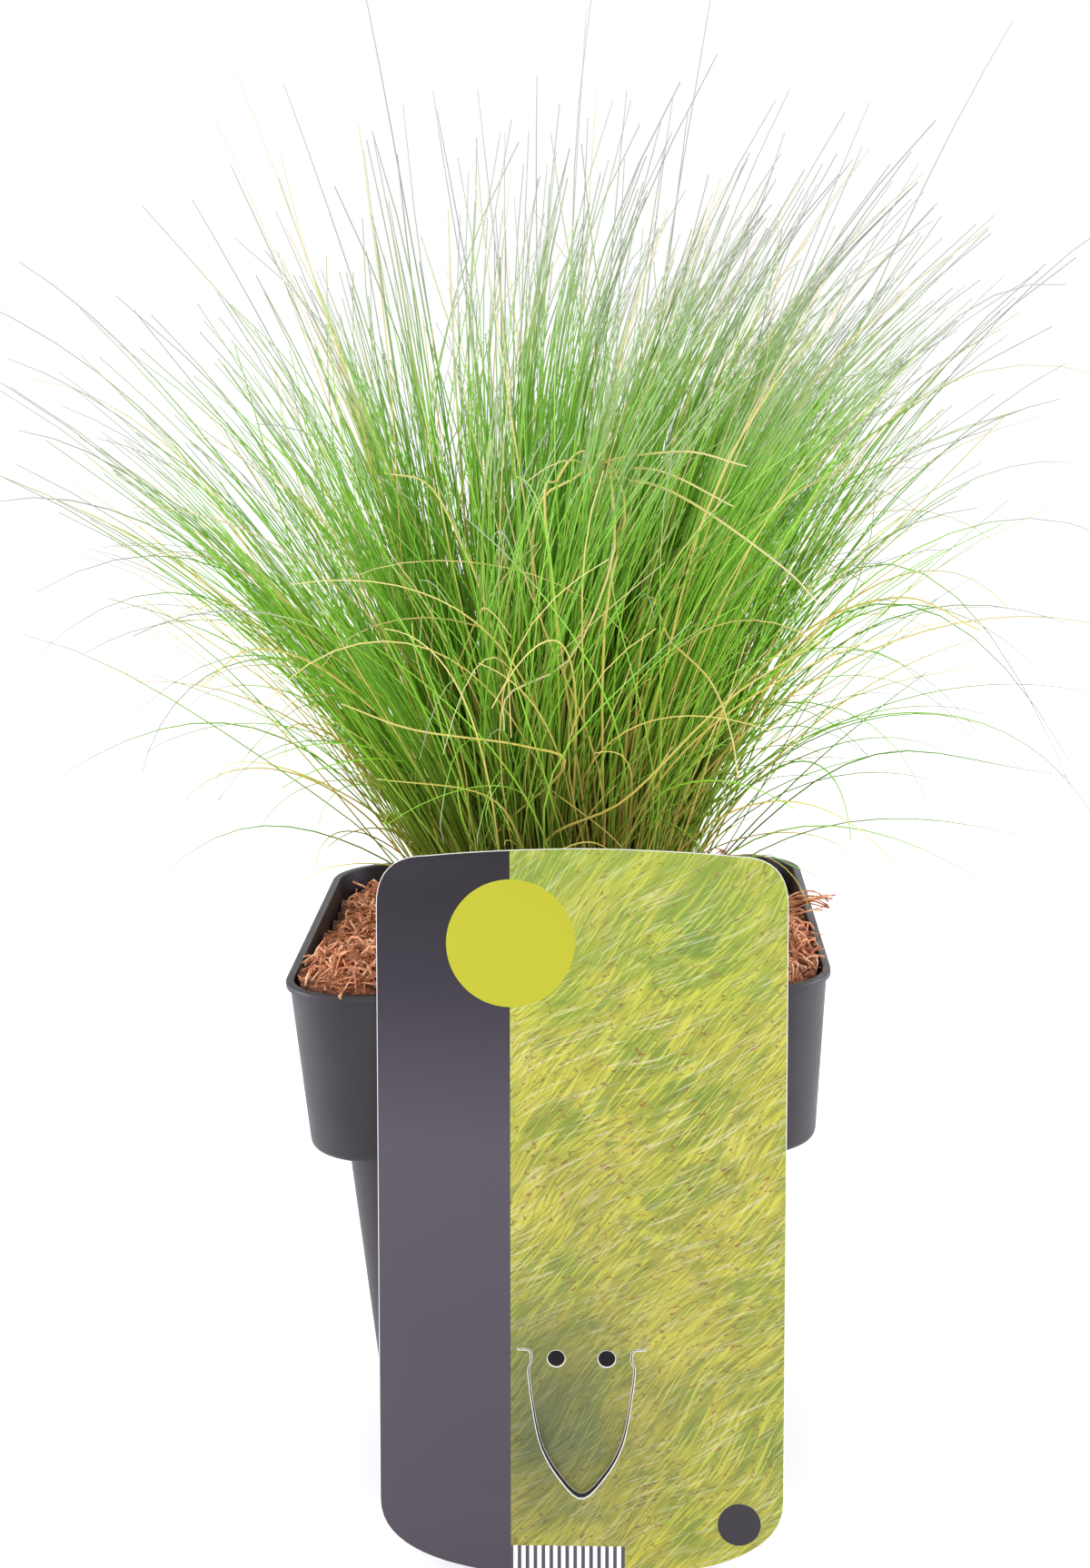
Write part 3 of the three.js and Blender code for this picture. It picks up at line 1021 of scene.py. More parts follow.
        joined = add("GeometryNodeJoinGeometry")
        strewn = (
            (self._fibre_instances(add, given), given["Fibres per m2"], self.fibre_tilt),
            (self._crumb_instance(add), given["Crumbs per m2"], self.crumb_tilt),
        )
        shortest, longest = self.fibre_stretch
        for shift, (shapes, density, tilt) in enumerate(strewn):
            seed = add("ShaderNodeMath", {0: given["Seed"], 1: float(shift)}, operation="ADD").outputs[0]
            points = add(
                "GeometryNodeDistributePointsOnFaces",
                {"Mesh": given["Geometry"], "Selection": open_bed, "Density": density, "Seed": seed},
            )
            turn = add(
                "FunctionNodeRandomValue",
                {0: (-tilt, -tilt, 0.0), 1: (tilt, tilt, 2 * math.pi), "Seed": seed},
                data_type="FLOAT_VECTOR",
            ).outputs[0]
            aligned = add(
                "FunctionNodeRotateRotation",
                {"Rotation": points.outputs["Rotation"], "Rotate By": turn},
                rotation_space="LOCAL",
            ).outputs[0]
            stretch = add(
                "FunctionNodeRandomValue",
                {"Min": shortest, "Max": longest, "Seed": seed},
                data_type="FLOAT",
            ).outputs[1]
            scale = add("ShaderNodeMath", {0: stretch, 1: room}, operation="MULTIPLY").outputs[0]
            placed = add(
                "GeometryNodeInstanceOnPoints",
                {
                    "Points": points.outputs["Points"],
                    "Instance": shapes,
                    "Pick Instance": True,
                    "Rotation": aligned,
                    "Scale": scale,
                },
            )
            feed(joined, {"Geometry": placed.outputs["Instances"]})
        real = add("GeometryNodeRealizeInstances", {"Geometry": joined.outputs[0]})
        coated = add(
            "GeometryNodeSetMaterial", {"Geometry": real.outputs[0], "Material": given["Material"]}
        )
        add("NodeGroupOutput", {"Geometry": coated.outputs[0]})
        return tree

    @staticmethod
    def _to_wall(add: Adder, given: NodeOutputs, flat: Socket) -> Socket:
        """Distance from a place on the bed to the pot's wall, round corners included.

        Args:
            add: Adds a node to the scatter tree.
            given: Its inputs, of which it uses "Half Width" and "Corner".
            flat: The place, without its height.

        Returns:
            The distance in metres.
        """
        inset = add(
            "ShaderNodeMath", {0: given["Half Width"], 1: given["Corner"]}, operation="SUBTRACT"
        ).outputs[0]
        core = add("ShaderNodeCombineXYZ", {"X": inset, "Y": inset}).outputs[0]
        past = flat
        for operation, inputs in (
            ("ABSOLUTE", {}), ("SUBTRACT", {1: core}), ("MAXIMUM", {1: (0.0, 0.0, 0.0)})
        ):
            past = add("ShaderNodeVectorMath", {0: past, **inputs}, operation=operation).outputs[0]
        length = add("ShaderNodeVectorMath", {0: past}, operation="LENGTH").outputs["Value"]
        return add("ShaderNodeMath", {0: given["Corner"], 1: length}, operation="SUBTRACT").outputs[0]

    def _fibre_instances(self, add: Adder, given: NodeOutputs) -> Socket:
        """Four bent fibres, each an instance.

        Args:
            add: Adds a node to the scatter tree.
            given: Its inputs, of which it uses "Fibre Length" and "Fibre Radius".

        Returns:
            The socket of the instances.
        """
        shapes = add("GeometryNodeJoinGeometry")
        profile = add(
            "GeometryNodeCurvePrimitiveCircle", {"Resolution": 3, "Radius": given["Fibre Radius"]}
        )
        for bend, lift, length in self.fibre_bends:
            ends = []
            for x, y, z in ((-length / 2, 0, 0.0), (0, bend, lift), (length / 2, bend * 0.3, lift * 0.4)):
                unit = add("ShaderNodeCombineXYZ", {"X": x, "Y": y, "Z": z}).outputs[0]
                sized = add(
                    "ShaderNodeVectorMath", {0: unit, "Scale": given["Fibre Length"]}, operation="SCALE"
                )
                ends.append(sized.outputs["Vector"])
            line = add(
                "GeometryNodeCurveQuadraticBezier",
                {"Resolution": 4, "Start": ends[0], "Middle": ends[1], "End": ends[2]},
            )
            fibre = add(
                "GeometryNodeCurveToMesh",
                {"Curve": line.outputs[0], "Profile Curve": profile.outputs[0], "Fill Caps": True},
            )
            one = add("GeometryNodeGeometryToInstance", {"Geometry": fibre.outputs[0]})
            feed(shapes, {0: one.outputs[0]})
        return shapes.outputs[0]

    def _crumb_instance(self, add: Adder) -> Socket:
        """A flattened crumb of pith, as one instance.

        Args:
            add: Adds a node to the scatter tree.

        Returns:
            The socket of the instance.
        """
        ball = add(
            "GeometryNodeMeshIcoSphere", {"Radius": self.crumb_radius * MM, "Subdivisions": 1}
        ).outputs["Mesh"]
        flat = add("GeometryNodeTransform", {"Geometry": ball, "Scale": self.crumb_shape})
        return add("GeometryNodeGeometryToInstance", {"Geometry": flat.outputs[0]}).outputs[0]

    def build(self) -> None:
        """Builds the mulch and dresses the soil and the crown."""
        # To the eye: loose, springy red-brown threads with pale highlights.
        coir = Fibrous("coir_fibre_retted", "#84432a", "#cc845b", "#ecc09a", 2.6).build()
        # To the eye: crumbly dust between and under the threads, its dark colours partly painted shade of
        # the gaps between them.
        pith_and_gap_shade = Fibrous("coir_pith_with_painted_shade", "#3a2018", "#74402e", "#ab6c50", 1.6).build()
        # To the eye: near-black, moist and crumbly earth.
        peat = Fibrous("peat_substrate_milled", "#16100c", "#2b1d15", "#46301f", 1.4).build()
        # To the eye: dull brown, fibrous and woody.
        tissue = Fibrous("grass_crown_grown", "#2f2614", "#5b4a26", "#8a7440", 1.2).build()
        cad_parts["potting_soil"].data.materials[0] = peat
        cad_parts["crown"].data.materials[0] = tissue
        bed = mesh_piece("coir_bed", *lofted(self.bed_rings_in_mm()), pith_and_gap_shade)
        smooth_by_angle(bed)
        fibres = mesh_piece("coir_fibres", *lofted(self.bed_rings_in_mm()), coir)
        strew = fibres.modifiers.new("strew", "NODES")
        strew.node_group = self.scatter_tree()
        half, corner = self.bed_plan(self.bed_top)
        set_inputs(strew, {"Half Width": half * MM, "Corner": corner * MM, "Material": coir})
        apply_modifiers(fibres)
        self.keep_in_pot(fibres.data)
        hand_in(bed, "coir", "coir_mulch")
        hand_in(fibres, "coir")
        hand_in(self.stray_fibres(coir), "coir")

    def keep_in_pot(self, mesh: Mesh) -> None:
        """Lays fibres that would pass through the pot's wall over its lip, or inside the wall.

        Args:
            mesh: Mesh of the fibres, to be changed.
        """
        places = np.empty(len(mesh.vertices) * 3)
        mesh.vertices.foreach_get("co", places)
        places = places.reshape(-1, 3) / MM
        half, corner = self.bed_plan(self.bed_top)
        size = np.abs(places[:, :2])
        past = np.maximum(size - (half - corner), 0)
        stretch = np.linalg.norm(past, axis=1) / corner
        beyond = stretch > 1
        near_lip = beyond & (places[:, 2] > self.pot.height - self.lip_near)
        places[near_lip, 2] = np.maximum(places[near_lip, 2], self.pot.height + self.lip_rest)
        deep = beyond & ~near_lip
        inside = np.minimum(size, half - corner) + past / np.maximum(stretch, 1)[:, None]
        places[deep, :2] = (np.sign(places[:, :2]) * inside)[deep]
        mesh.vertices.foreach_set("co", (places * MM).ravel())

    def stray_fibres(self, finish: Material) -> Object:
        """Single fibres that stick out over the lip.

        Args:
            finish: Finish of the fibres.

        Returns:
            One plain mesh object that holds them all.
        """
        curve = bpy.data.curves.new("coir_strays", "CURVE")
        curve.dimensions = "3D"
        curve.bevel_depth = self.stray_radius * MM
        curve.bevel_resolution = 0
        curve.use_fill_caps = True
        rng = np.random.default_rng(self.stray_seed)
        for route in self.strays * self.stray_copies:
            spline = curve.splines.new("POLY")
            moved = np.array(route) + rng.normal(0, self.stray_shift, (len(route), 3)) * (1, 1, 0.5)
            line = through(tuple(moved), self.stray_steps)
            spline.points.add(len(line) - 1)
            for point, place in zip(spline.points, line):
                point.co = (*(place * MM), 1)
        piece = curve_piece("coir_strays", curve)
        piece.data.materials.clear()
        piece.data.materials.append(finish)
        return piece


def set_inputs(modifier: NodesModifier, values: dict) -> None:
    """Sets a Geometry Nodes modifier's inputs by the identifiers of their named sockets.

    Args:
        modifier: The modifier, with its tree already set.
        values: Socket name with the value to give it.
    """
    for item in modifier.node_group.interface.items_tree:
        if item.in_out == "INPUT" and item.name in values:
            modifier[item.identifier] = values[item.name]


# ------------ grass


class Life(Enum):
    """Whether a tuft is alive or dead, with the name its CAD node starts with."""

    GREEN = "green"
    STRAW = "straw"


@dataclass
class BladePaths:
    """Centre lines of many blades: places in mm, half thickness, tone and how far along."""

    full_length: float
    taper_power: float = 2.2  # how late a blade thins towards its tip
    points: Rings = field(default_factory=list)
    radii: Rings = field(default_factory=list)
    travelled: Rings = field(default_factory=list)
    tones: list[float] = field(default_factory=list)

    def add(
        self, path: np.ndarray, foot_radius: float, tip_share: float, tone: float, dry_and_lit_tip: float
    ) -> None:
        """Adds one blade.

        Args:
            path: Centre line from foot to tip, mm.
            foot_radius: Half thickness at the foot, mm.
            tip_share: Share of that thickness that is left at the tip.
            tone: Colour number from 0 to 1.
            dry_and_lit_tip: How much further along the colour run the tip is than its place says: the pallor
                of a dry tip and of painted light through it.
        """
        share = np.linspace(0, 1, len(path))
        # Only the last two fifths of a blade grow pale, as drying and as painted light shining through the
        # thin tip.
        drying_and_lit = dry_and_lit_tip * np.clip(share / 0.4 - 1.5, 0, 1)
        self.travelled.append(np.clip(run_lengths(path) / self.full_length + drying_and_lit, 0, 1))
        self.points.append(path)
        self.radii.append(foot_radius * (1 - (1 - tip_share) * share**self.taper_power))
        self.tones.append(tone)

    def to_mesh(self, name: str) -> Mesh:
        """Makes a mesh of bare edges whose points carry the blades' numbers.

        Args:
            name: Name of the mesh.

        Returns:
            The mesh.
        """
        counts = [len(path) for path in self.points]
        starts = np.cumsum([0, *counts[:-1]])
        vertices = np.concatenate(self.points) * MM
        edges = np.concatenate(
            [np.stack([np.arange(n - 1), np.arange(1, n)], 1) + first for n, first in zip(counts, starts)]
        )
        mesh = bpy.data.meshes.new(name)
        mesh.from_pydata(vertices.tolist(), edges.tolist(), [])
        values = {
            "radius": np.concatenate(self.radii) * MM,
            "tone": np.repeat(self.tones, counts),
            "along": np.concatenate(self.travelled),
        }
        for key, numbers in values.items():
            layer = mesh.attributes.new(key, "FLOAT", "POINT")
            layer.data.foreach_set("value", numbers.astype(np.float32))
        return mesh


@dataclass
class BladeSweep:
    """Geometry Nodes that sweep a three-sided section along blade paths."""

    sides: int = 3
    tone_bins: int = 16
    strip: Pair = (0.15, 0.85)  # part of its map strip that a blade takes up

    def tree(self) -> NodeTree:
        """Builds the node tree.

        The map it stores holds one upright strip for each tone, with "along" going up it, so
        that all blades of a tone share their place on it.

        Returns:
            The node tree.
        """
        tree = bpy.data.node_groups.new("blade_sweep", "GeometryNodeTree")
        add = partial(add_node, tree)
        for name, kind in (
            ("Geometry", "Geometry"),
            ("Sides", "Int"),
            ("Thickness", "Float"),
            ("Tone Bins", "Int"),
            ("Material", "Material"),
        ):
            tree.interface.new_socket(name, in_out="INPUT", socket_type=f"NodeSocket{kind}")
        tree.interface.new_socket("Geometry", in_out="OUTPUT", socket_type="NodeSocketGeometry")
        given = add("NodeGroupInput").outputs
        lines = add("GeometryNodeMeshToCurve", {"Mesh": given["Geometry"]}).outputs[0]
        circle = add(
            "GeometryNodeCurvePrimitiveCircle", {"Resolution": given["Sides"], "Radius": 1.0}
        ).outputs[0]
        turn = add("GeometryNodeSplineParameter").outputs["Factor"]
        section = add(
            "GeometryNodeStoreNamedAttribute", {"Geometry": circle, "Name": "round", "Value": turn}
        ).outputs[0]
        radius, tone, around, along = (
            add("GeometryNodeInputNamedAttribute", {"Name": name}).outputs[0]
            for name in ("radius", "tone", "round", "along")
        )
        scale = add("ShaderNodeMath", {0: radius, 1: given["Thickness"]}, operation="MULTIPLY").outputs[0]
        swept = add(
            "GeometryNodeCurveToMesh",
            {"Curve": lines, "Profile Curve": section, "Scale": scale, "Fill Caps": True},
        ).outputs[0]
        last_bin = add("ShaderNodeMath", {0: given["Tone Bins"], 1: 1.0}, operation="SUBTRACT").outputs[0]
        number = add("ShaderNodeMath", {0: tone, 1: last_bin}, operation="MULTIPLY").outputs[0]
        last_corner = round(1 - 1 / self.sides, 3)
        inside = add(
            "ShaderNodeMapRange",
            {"Value": around, "From Max": last_corner, "To Min": self.strip[0], "To Max": self.strip[1]},
        ).outputs["Result"]
        column = add("ShaderNodeMath", {0: number, 1: inside}, operation="ADD").outputs[0]
        sideways = add("ShaderNodeMath", {0: column, 1: given["Tone Bins"]}, operation="DIVIDE").outputs[0]
        spot = add("ShaderNodeCombineXYZ", {"X": sideways, "Y": along}).outputs[0]
        mapped = add(
            "GeometryNodeStoreNamedAttribute",
            {"Geometry": swept, "Name": "OFBake", "Value": spot},
            data_type="FLOAT2",
            domain="CORNER",
        ).outputs[0]
        real = add("GeometryNodeRealizeInstances", {"Geometry": mapped}).outputs[0]
        coated = add(
            "GeometryNodeSetMaterial", {"Geometry": real, "Material": given["Material"]}
        ).outputs[0]
        add("NodeGroupOutput", {"Geometry": coated})
        return tree

    def sweep(self, name: str, paths: BladePaths, tree: NodeTree, material: Material) -> Object:
        """Makes the blades of one piece.

        Args:
            name: Piece name.
            paths: Centre lines of its blades.
            tree: The node tree from tree().
            material: Finish of the blades.

        Returns:
            A plain mesh object of closed blades.
        """
        paths.tones = [round(t * (self.tone_bins - 1)) / (self.tone_bins - 1) for t in paths.tones]
        piece = linked(name, paths.to_mesh(name))
        modifier = piece.modifiers.new("sweep", "NODES")
        modifier.node_group = tree
        values = {"Sides": self.sides, "Thickness": 1.0, "Tone Bins": self.tone_bins, "Material": material}
        set_inputs(modifier, values)
        apply_modifiers(piece)
        piece.data.polygons.foreach_set("use_smooth", [True] * len(piece.data.polygons))
        return piece


def through(points: tuple, steps: int) -> np.ndarray:
    """Smooth centre line through given points.

    Args:
        points: Rows of x, y, z, mm.
        steps: How many points the line gets.

    Returns:
        Points of a Catmull-Rom curve, evenly spaced in its parameter.
    """
    knots = np.array(points, float)
    knots = np.concatenate([[2 * knots[0] - knots[1]], knots, [2 * knots[-1] - knots[-2]]])
    spans = len(knots) - 3
    line = []
    for u in np.linspace(0, spans - 1e-9, steps):
        k = int(u)
        t = u - k
        a, b, c, d = knots[k : k + 4]
        square, cube = 2 * a - 5 * b + 4 * c - d, 3 * b - a - 3 * c + d
        line.append(0.5 * (2 * b + (c - a) * t + square * t**2 + cube * t**3))
    return np.array(line)


def swaying(share: np.ndarray, size: float, rng: Random) -> np.ndarray:
    """Wave of a blade at shares of its length; it grows from the foot to that size, mm, at the tip."""
    return np.sin(share * rng.uniform(3, 9) + rng.uniform(0, 6)) * share * rng.normal(0, size, 3)


def walked(foot: np.ndarray, strides: np.ndarray) -> np.ndarray:
    """Centre line that starts at a foot and takes the given strides."""
    return foot + np.concatenate([np.zeros((1, 3)), np.cumsum(strides, 0)])


@dataclass
class TuftHabit:
    """How one tuft grows, which all its blades share."""

    x: float
    y: float
    outer: float  # distance from the pot's axis, as a share of the field of tufts
    left: float  # how far it stands left of the axis, as the same kind of share
    dry: bool
    together: float  # share of the fountain's outward lean that it takes part in
    slope: np.ndarray  # sideways slope that its blades gain on their way up
    vigour: float  # how well its strands are filled
    hue: float  # middle of its colour numbers


@dataclass
class FeatherGrass:
    """The plant: tufts in a spiral on the crown, each with strands of thread-fine blades.

    Every tuft has the five blade bundles of its CAD solid. A bundle splits into strands, and
    the blades of a strand stand a little apart half-way up and close again towards its tip.
    """

    pot: NurseryPot = field(default_factory=NurseryPot)
    tuft_count: int = 42
    dry_every: int = 7
    dry_first: int = 3
    tuft_field: float = 17.0  # radius of the spiral of tufts
    bundles: int = 5
    bundle_ring: float = 1.2
    tuft_foot: float = 89.8
    longest: float = 164.0
    shortest: float = 92.0
    outer_shortfall: float = 24.0
    left_shortfall: float = 0.16  # as a share
    lean_at_foot: float = 22.0  # of the outermost tufts, degrees
    lean_at_tip: float = 50.0  # further lean up to the tip, degrees
    lean_power: float = 1.6
    strands: int = 2
    strand_blades: int = 12
    stray_blades: int = 3
    fan_blades: int = 2
    tangled_blades: int = 3
    foot_radius: float = 0.21
    tip_share: float = 0.4
    steps: int = 12
    loose_steps: int = 26
    # The left of the plant is thinner and the tufts are drawn to the right.
    drawn_right: float = 0.42
    set_left: float = 0.06
    thin_left: float = 0.55
    thin_right: float = 0.1
    gathered: float = 0.6
    # How much tufts, bundles and strands differ in filling, colour, slope and lean.
    vigours: Pair = (0.4, 1.45)
    hues: Pair = (0.2, 0.95)
    hue_spread: float = 0.16
    slope_spread: float = 0.22
    bundle_slope_spread: float = 0.07
    bundle_spreads: Pair = (0.84, 1.08)
    strand_spreads: Pair = (0.95, 1.05)
    # How far strands, fans and strays go their own way.
    loose_strands: float = 0.035
    loose_fans: float = 0.13
    loose_strays: float = 0.22
    # How far apart the blades of a strand stand at its foot and further up, and their waves, mm.
    strand_gap: float = 0.3
    strand_belly: float = 2.4
    strand_scatter: float = 1.15
    strand_wave: float = 1.1
    stray_sway: float = 1.6
    fan_tip_share: float = 0.55
    # A thinner stripe from front to back, through which the light shows.
    parting_at: float = -3.0
    parting_width: float = 3.0
    parting_thin: float = 0.3
    # Highest tone of a dead blade, lowest of a live one, and the shares of dead blades in straw
    # and in green tufts.
    straw_tone: float = 0.14
    live_tone: float = 0.2
    dead_in_strands: Pair = (0.42, 0.07)
    dead_strays: Pair = (0.5, 0.17)
    dead_fans: float = 0.12
    # How pale the tips get, from drying and from painted light shining through them: all of them, and what
    # outer strands, outer strays and wisps add.
    dry_and_lit_tip: float = 0.08
    strand_tips_dry_and_lit: float = 0.24
    stray_tips_dry_and_lit: float = 0.3
    wisp_tips_dry_and_lit: float = 0.5
    # Blades may pass the CAD box by box_margin and stay lip_margin inside the pot's lip. They
    # keep behind the card, and none hangs card_gap or more before it.
    box_margin: float = 4.0
    lip_margin: float = 1.5
    margin: float = 2.0  # above the lip and round the card
    card_clearance: float = 1.2
    card_gap: float = 14.0
    card_headroom: float = 20.0
    # Single long blades: their feet and middles, as shares of the way to the tip, thickness, share
    # of dead ones, waves, and where their tips lie: in depth, and across and up as seen from the
    # front. The other sides of the plant get every second one.
    wisp_foot: float = 0.17
    wisp_middle: Triple = (0.45, 0.45, 0.6)
    wisp_radii: Pair = (0.15, 0.21)
    wisp_tip_share: float = 0.3
    wisp_straws: float = 0.2
    wisp_sway: float = 1.4
    wisp_bow: float = 1.6
    wisp_steepest_bow: float = 0.95  # sine of the slope at which a wisp is straight
    wisp_depths: Pair = (-26, 10)
    wisp_tips: tuple = (
        (-28, 254), (-50, 243), (-55, 236), (-41, 241), (-15, 238), (9, 236), (23, 237), (40, 230),
        (52, 228), (77, 244), (61, 224), (78, 206), (91, 213), (84, 191), (83, 182), (89, 163),
        (83, 140), (76, 121), (88, 124), (94, 110), (64, 114), (-89, 198), (-91, 174), (-92, 208),
        (-88, 186), (-67, 209), (-45, 220), (-89, 147), (-58, 120), (-71, 149), (-75, 166),
    )
    wisp_sides: tuple = ((0, 1), (75, 2), (180, 2), (255, 2))  # turn in degrees, and every which tip
    # Direction and fan in radians, and number, of the bowed wisps at each side, the places of
    # their tips, and their bow as a share of their reach.
    side_reaches: Pair = (50, 96)
    side_heights: Pair = (114, 204)
    side_bows: Pair = (0.2, 0.62)
    side_wisps: tuple = ((0.0, 0.55, 50), (math.pi, 0.6, 9), (math.pi / 2, 0.9, 20), (-math.pi / 2, 0.8, 8))
    # Limp blades: how often more of them a straw tuft has, lean at foot and tip in degrees, how
    # late they curl over, length, thickness, and the share of dead ones in green tufts.
    dry_tangle: int = 3
    tangle_starts: Pair = (8, 34)
    tangle_ends: Pair = (62, 150)
    tangle_curls: Pair = (1.3, 3.2)
    tangle_lengths: Pair = (48, 128)
    tangle_radii: Pair = (0.16, 0.24)
    tangle_tip_share: float = 0.45
    tangle_straws: float = 0.35
    # Routes of the dead blades that curl over the front, from where they leave their tuft.
    loose_foot: float = 0.5  # place of their tuft, as a share of the way to the first point
    loose_radius: float = 0.27
    loose_tip_share: float = 0.5
    loose_tones: Pair = (0.02, 0.12)
    loose_blades: tuple = (
        ((15, -30, 154), (20, -32, 150), (26, -34, 144), (29, -36, 136), (30, -38, 129)),
        ((-2, -30, 163), (6, -41, 178), (21, -52, 182), (31, -58, 180)),
        ((4, -36, 166), (10, -40, 177), (18, -48, 179), (29, -56, 174)),
        ((6, -38, 174), (14, -42, 177), (23, -47, 174), (36, -56, 165), (41, -60, 160)),
        (
            (9, -40, 150), (13, -46, 172), (11, -48, 179), (11, -47, 166), (4, -44, 150),
            (-6, -41, 144), (-7, -40, 138),
        ),
        ((1, -45, 168), (3, -46, 178), (7, -46, 182), (8, -48, 176)),
        ((-8, -36, 152), (-13, -45, 170), (-17, -49, 178), (-23, -52, 180)),
        ((-12, -20, 112), (2, -33, 130), (-4, -38, 135), (-21, -43, 139), (-32, -46, 144)),
        ((-4, -26, 112), (-10, -35, 126), (-28, -37, 130)),
        ((-2, -26, 115), (12, -34, 125), (28, -42, 142), (43, -50, 153)),
        ((-20, -24, 126), (-34, -34, 146), (-46, -40, 152), (-54, -44, 147)),
        ((22, -20, 128), (40, -30, 150), (56, -36, 157), (68, -40, 152)),
    )
    seed: int = 73

    def tuft_place(self, index: int) -> Triple:
        """Where a tuft stands in the spiral.

        Args:
            index: Number of the tuft.

        Returns:
            Radius, x and y of its foot, mm.
        """
        radius = self.tuft_field * math.sqrt((index + 0.5) / self.tuft_count)
        angle = index * GOLDEN_ANGLE
        return radius, radius * math.cos(angle), radius * math.sin(angle)

    def life(self, index: int) -> Life:
        """Whether a tuft is green or straw."""
        return Life.STRAW if index % self.dry_every == self.dry_first else Life.GREEN

    def bundle_length(self, index: int, number: int, radius: float) -> float:
        """Length of a tuft's blade bundle, as in the CAD part.

        Args:
            index: Number of the tuft.
            number: Number of the bundle in the tuft.
            radius: Distance of the tuft from the pot's axis, mm.

        Returns:
            The length, mm.
        """
        value = math.sin((index * self.bundles + number) * 12.9898 + 4.1414) * 43758.5453
        share = 1 - (value - math.floor(value)) ** 1.4
        longest = self.longest - self.outer_shortfall * radius / self.tuft_field
        return self.shortest + (longest - self.shortest) * share

    def arch(
        self, foot: np.ndarray, length: float, habit: tuple[float, np.ndarray], rng: Random, loose: float
    ) -> np.ndarray:
        """One arching centre line.

        Args:
            foot: Foot of the line, mm.
            length: Its length, mm.
            habit: Share of the fountain's own outward lean that it takes part in, and the
                sideways slope that it gains on its way up.
            rng: Random numbers of the tuft.
            loose: How far it may go its own way, as a share of its length.

        Returns:
            Points from foot to tip, mm.
        """
        spread, slope = habit
        away = math.hypot(foot[0], foot[1])
        outward = foot[:2] / max(away, 0.001)
        share = (np.arange(self.steps - 1) + 0.5) / (self.steps - 1)
        arch = self.lean_at_tip * (share * length / self.longest) ** self.lean_power
        lean = np.radians(spread * away / self.tuft_field * (self.lean_at_foot + arch))
        # A loose blade leans more or less towards its tip, and it swerves and waves to the sides.
        lean += rng.normal(0.02, 1.2 * loose) * share**2
        first = rng.normal(0, 0.7 * loose, 2) - (self.set_left, 0.0)
        last = 0.6 * first + rng.normal(0, 2.4 * loose, 2) + slope
        tilt = first + share[:, None] ** 1.4 * (last - first)
        tilt += loose * np.sin(share[:, None] * rng.uniform(3, 8, 2) + rng.uniform(0, 6, 2))
        headings = np.column_stack([np.sin(lean)[:, None] * outward + tilt, np.cos(lean)])
        headings *= length / (self.steps - 1) / np.linalg.norm(headings, axis=1)[:, None]
        return walked(foot, headings)

    def strand_blade(self, strand: np.ndarray, part: float, rng: Random) -> np.ndarray:
        """A blade that follows a strand and closes in on it at its tip.

        Args:
            strand: Centre line of the strand, mm.
            part: Share of the strand's length that the blade has.
            rng: Random numbers of the tuft.

        Returns:
            Centre line of the blade, mm.
        """
        at = np.linspace(0, part, self.steps)
        line = resampled(strand, np.linspace(0, 1, len(strand)), at)
        apart = self.strand_gap + self.strand_belly * at * (1 - at) ** 0.8
        aside = rng.normal(0, self.strand_scatter, 3) * (1, 1, 0)
        waves = np.sin(at[:, None] * rng.uniform(3, 9, 3) + rng.uniform(0, 6, 3))
        return line + apart[:, None] * aside + waves * at[:, None] * rng.normal(0, self.strand_wave, 3)

    def habit(self, index: int, rng: Random) -> TuftHabit:
        """Draws how a tuft grows.

        Args:
            index: Number of the tuft.
            rng: Random numbers of the tuft.

        Returns:
            Its habit.
        """
        radius, x, y = self.tuft_place(index)
        outer = radius / self.tuft_field
        left, right = max(0.0, -x / self.tuft_field), max(0.0, x / self.tuft_field)
        together = 1 - self.gathered * outer * (1 - 0.7 * left) * rng.random() ** 0.8
        slope = rng.normal(0, self.slope_spread, 2) + (self.drawn_right * (1 - 1.3 * left), 0.0)
        vigour = rng.uniform(*self.vigours) * (1 - self.thin_left * left - self.thin_right * right)
        vigour *= 1 - self.parting_thin * math.exp(-(((x - self.parting_at) / self.parting_width) ** 2))
        dry = self.life(index) is Life.STRAW
        return TuftHabit(x, y, outer, left, dry, together, slope, vigour, rng.uniform(*self.hues))

    def add_strands(
        self, tuft: TuftHabit, foot: np.ndarray, length: float, rng: Random, paths: BladePaths
    ) -> None:
        """Adds the close strands of one bundle.

        Args:
            tuft: How its tuft grows.
            foot: Foot of the bundle, mm.
            length: Length of the bundle, mm.
            rng: Random numbers of the tuft.
            paths: The tuft's blades, to be added to.
        """
        bundle_spread = tuft.together * rng.uniform(*self.bundle_spreads)
        slope = tuft.slope + rng.normal(0, self.bundle_slope_spread, 2)
        dead_share = self.dead_in_strands[0 if tuft.dry else 1]
        for _ in range(self.strands):
            spread = bundle_spread * rng.uniform(*self.strand_spreads)
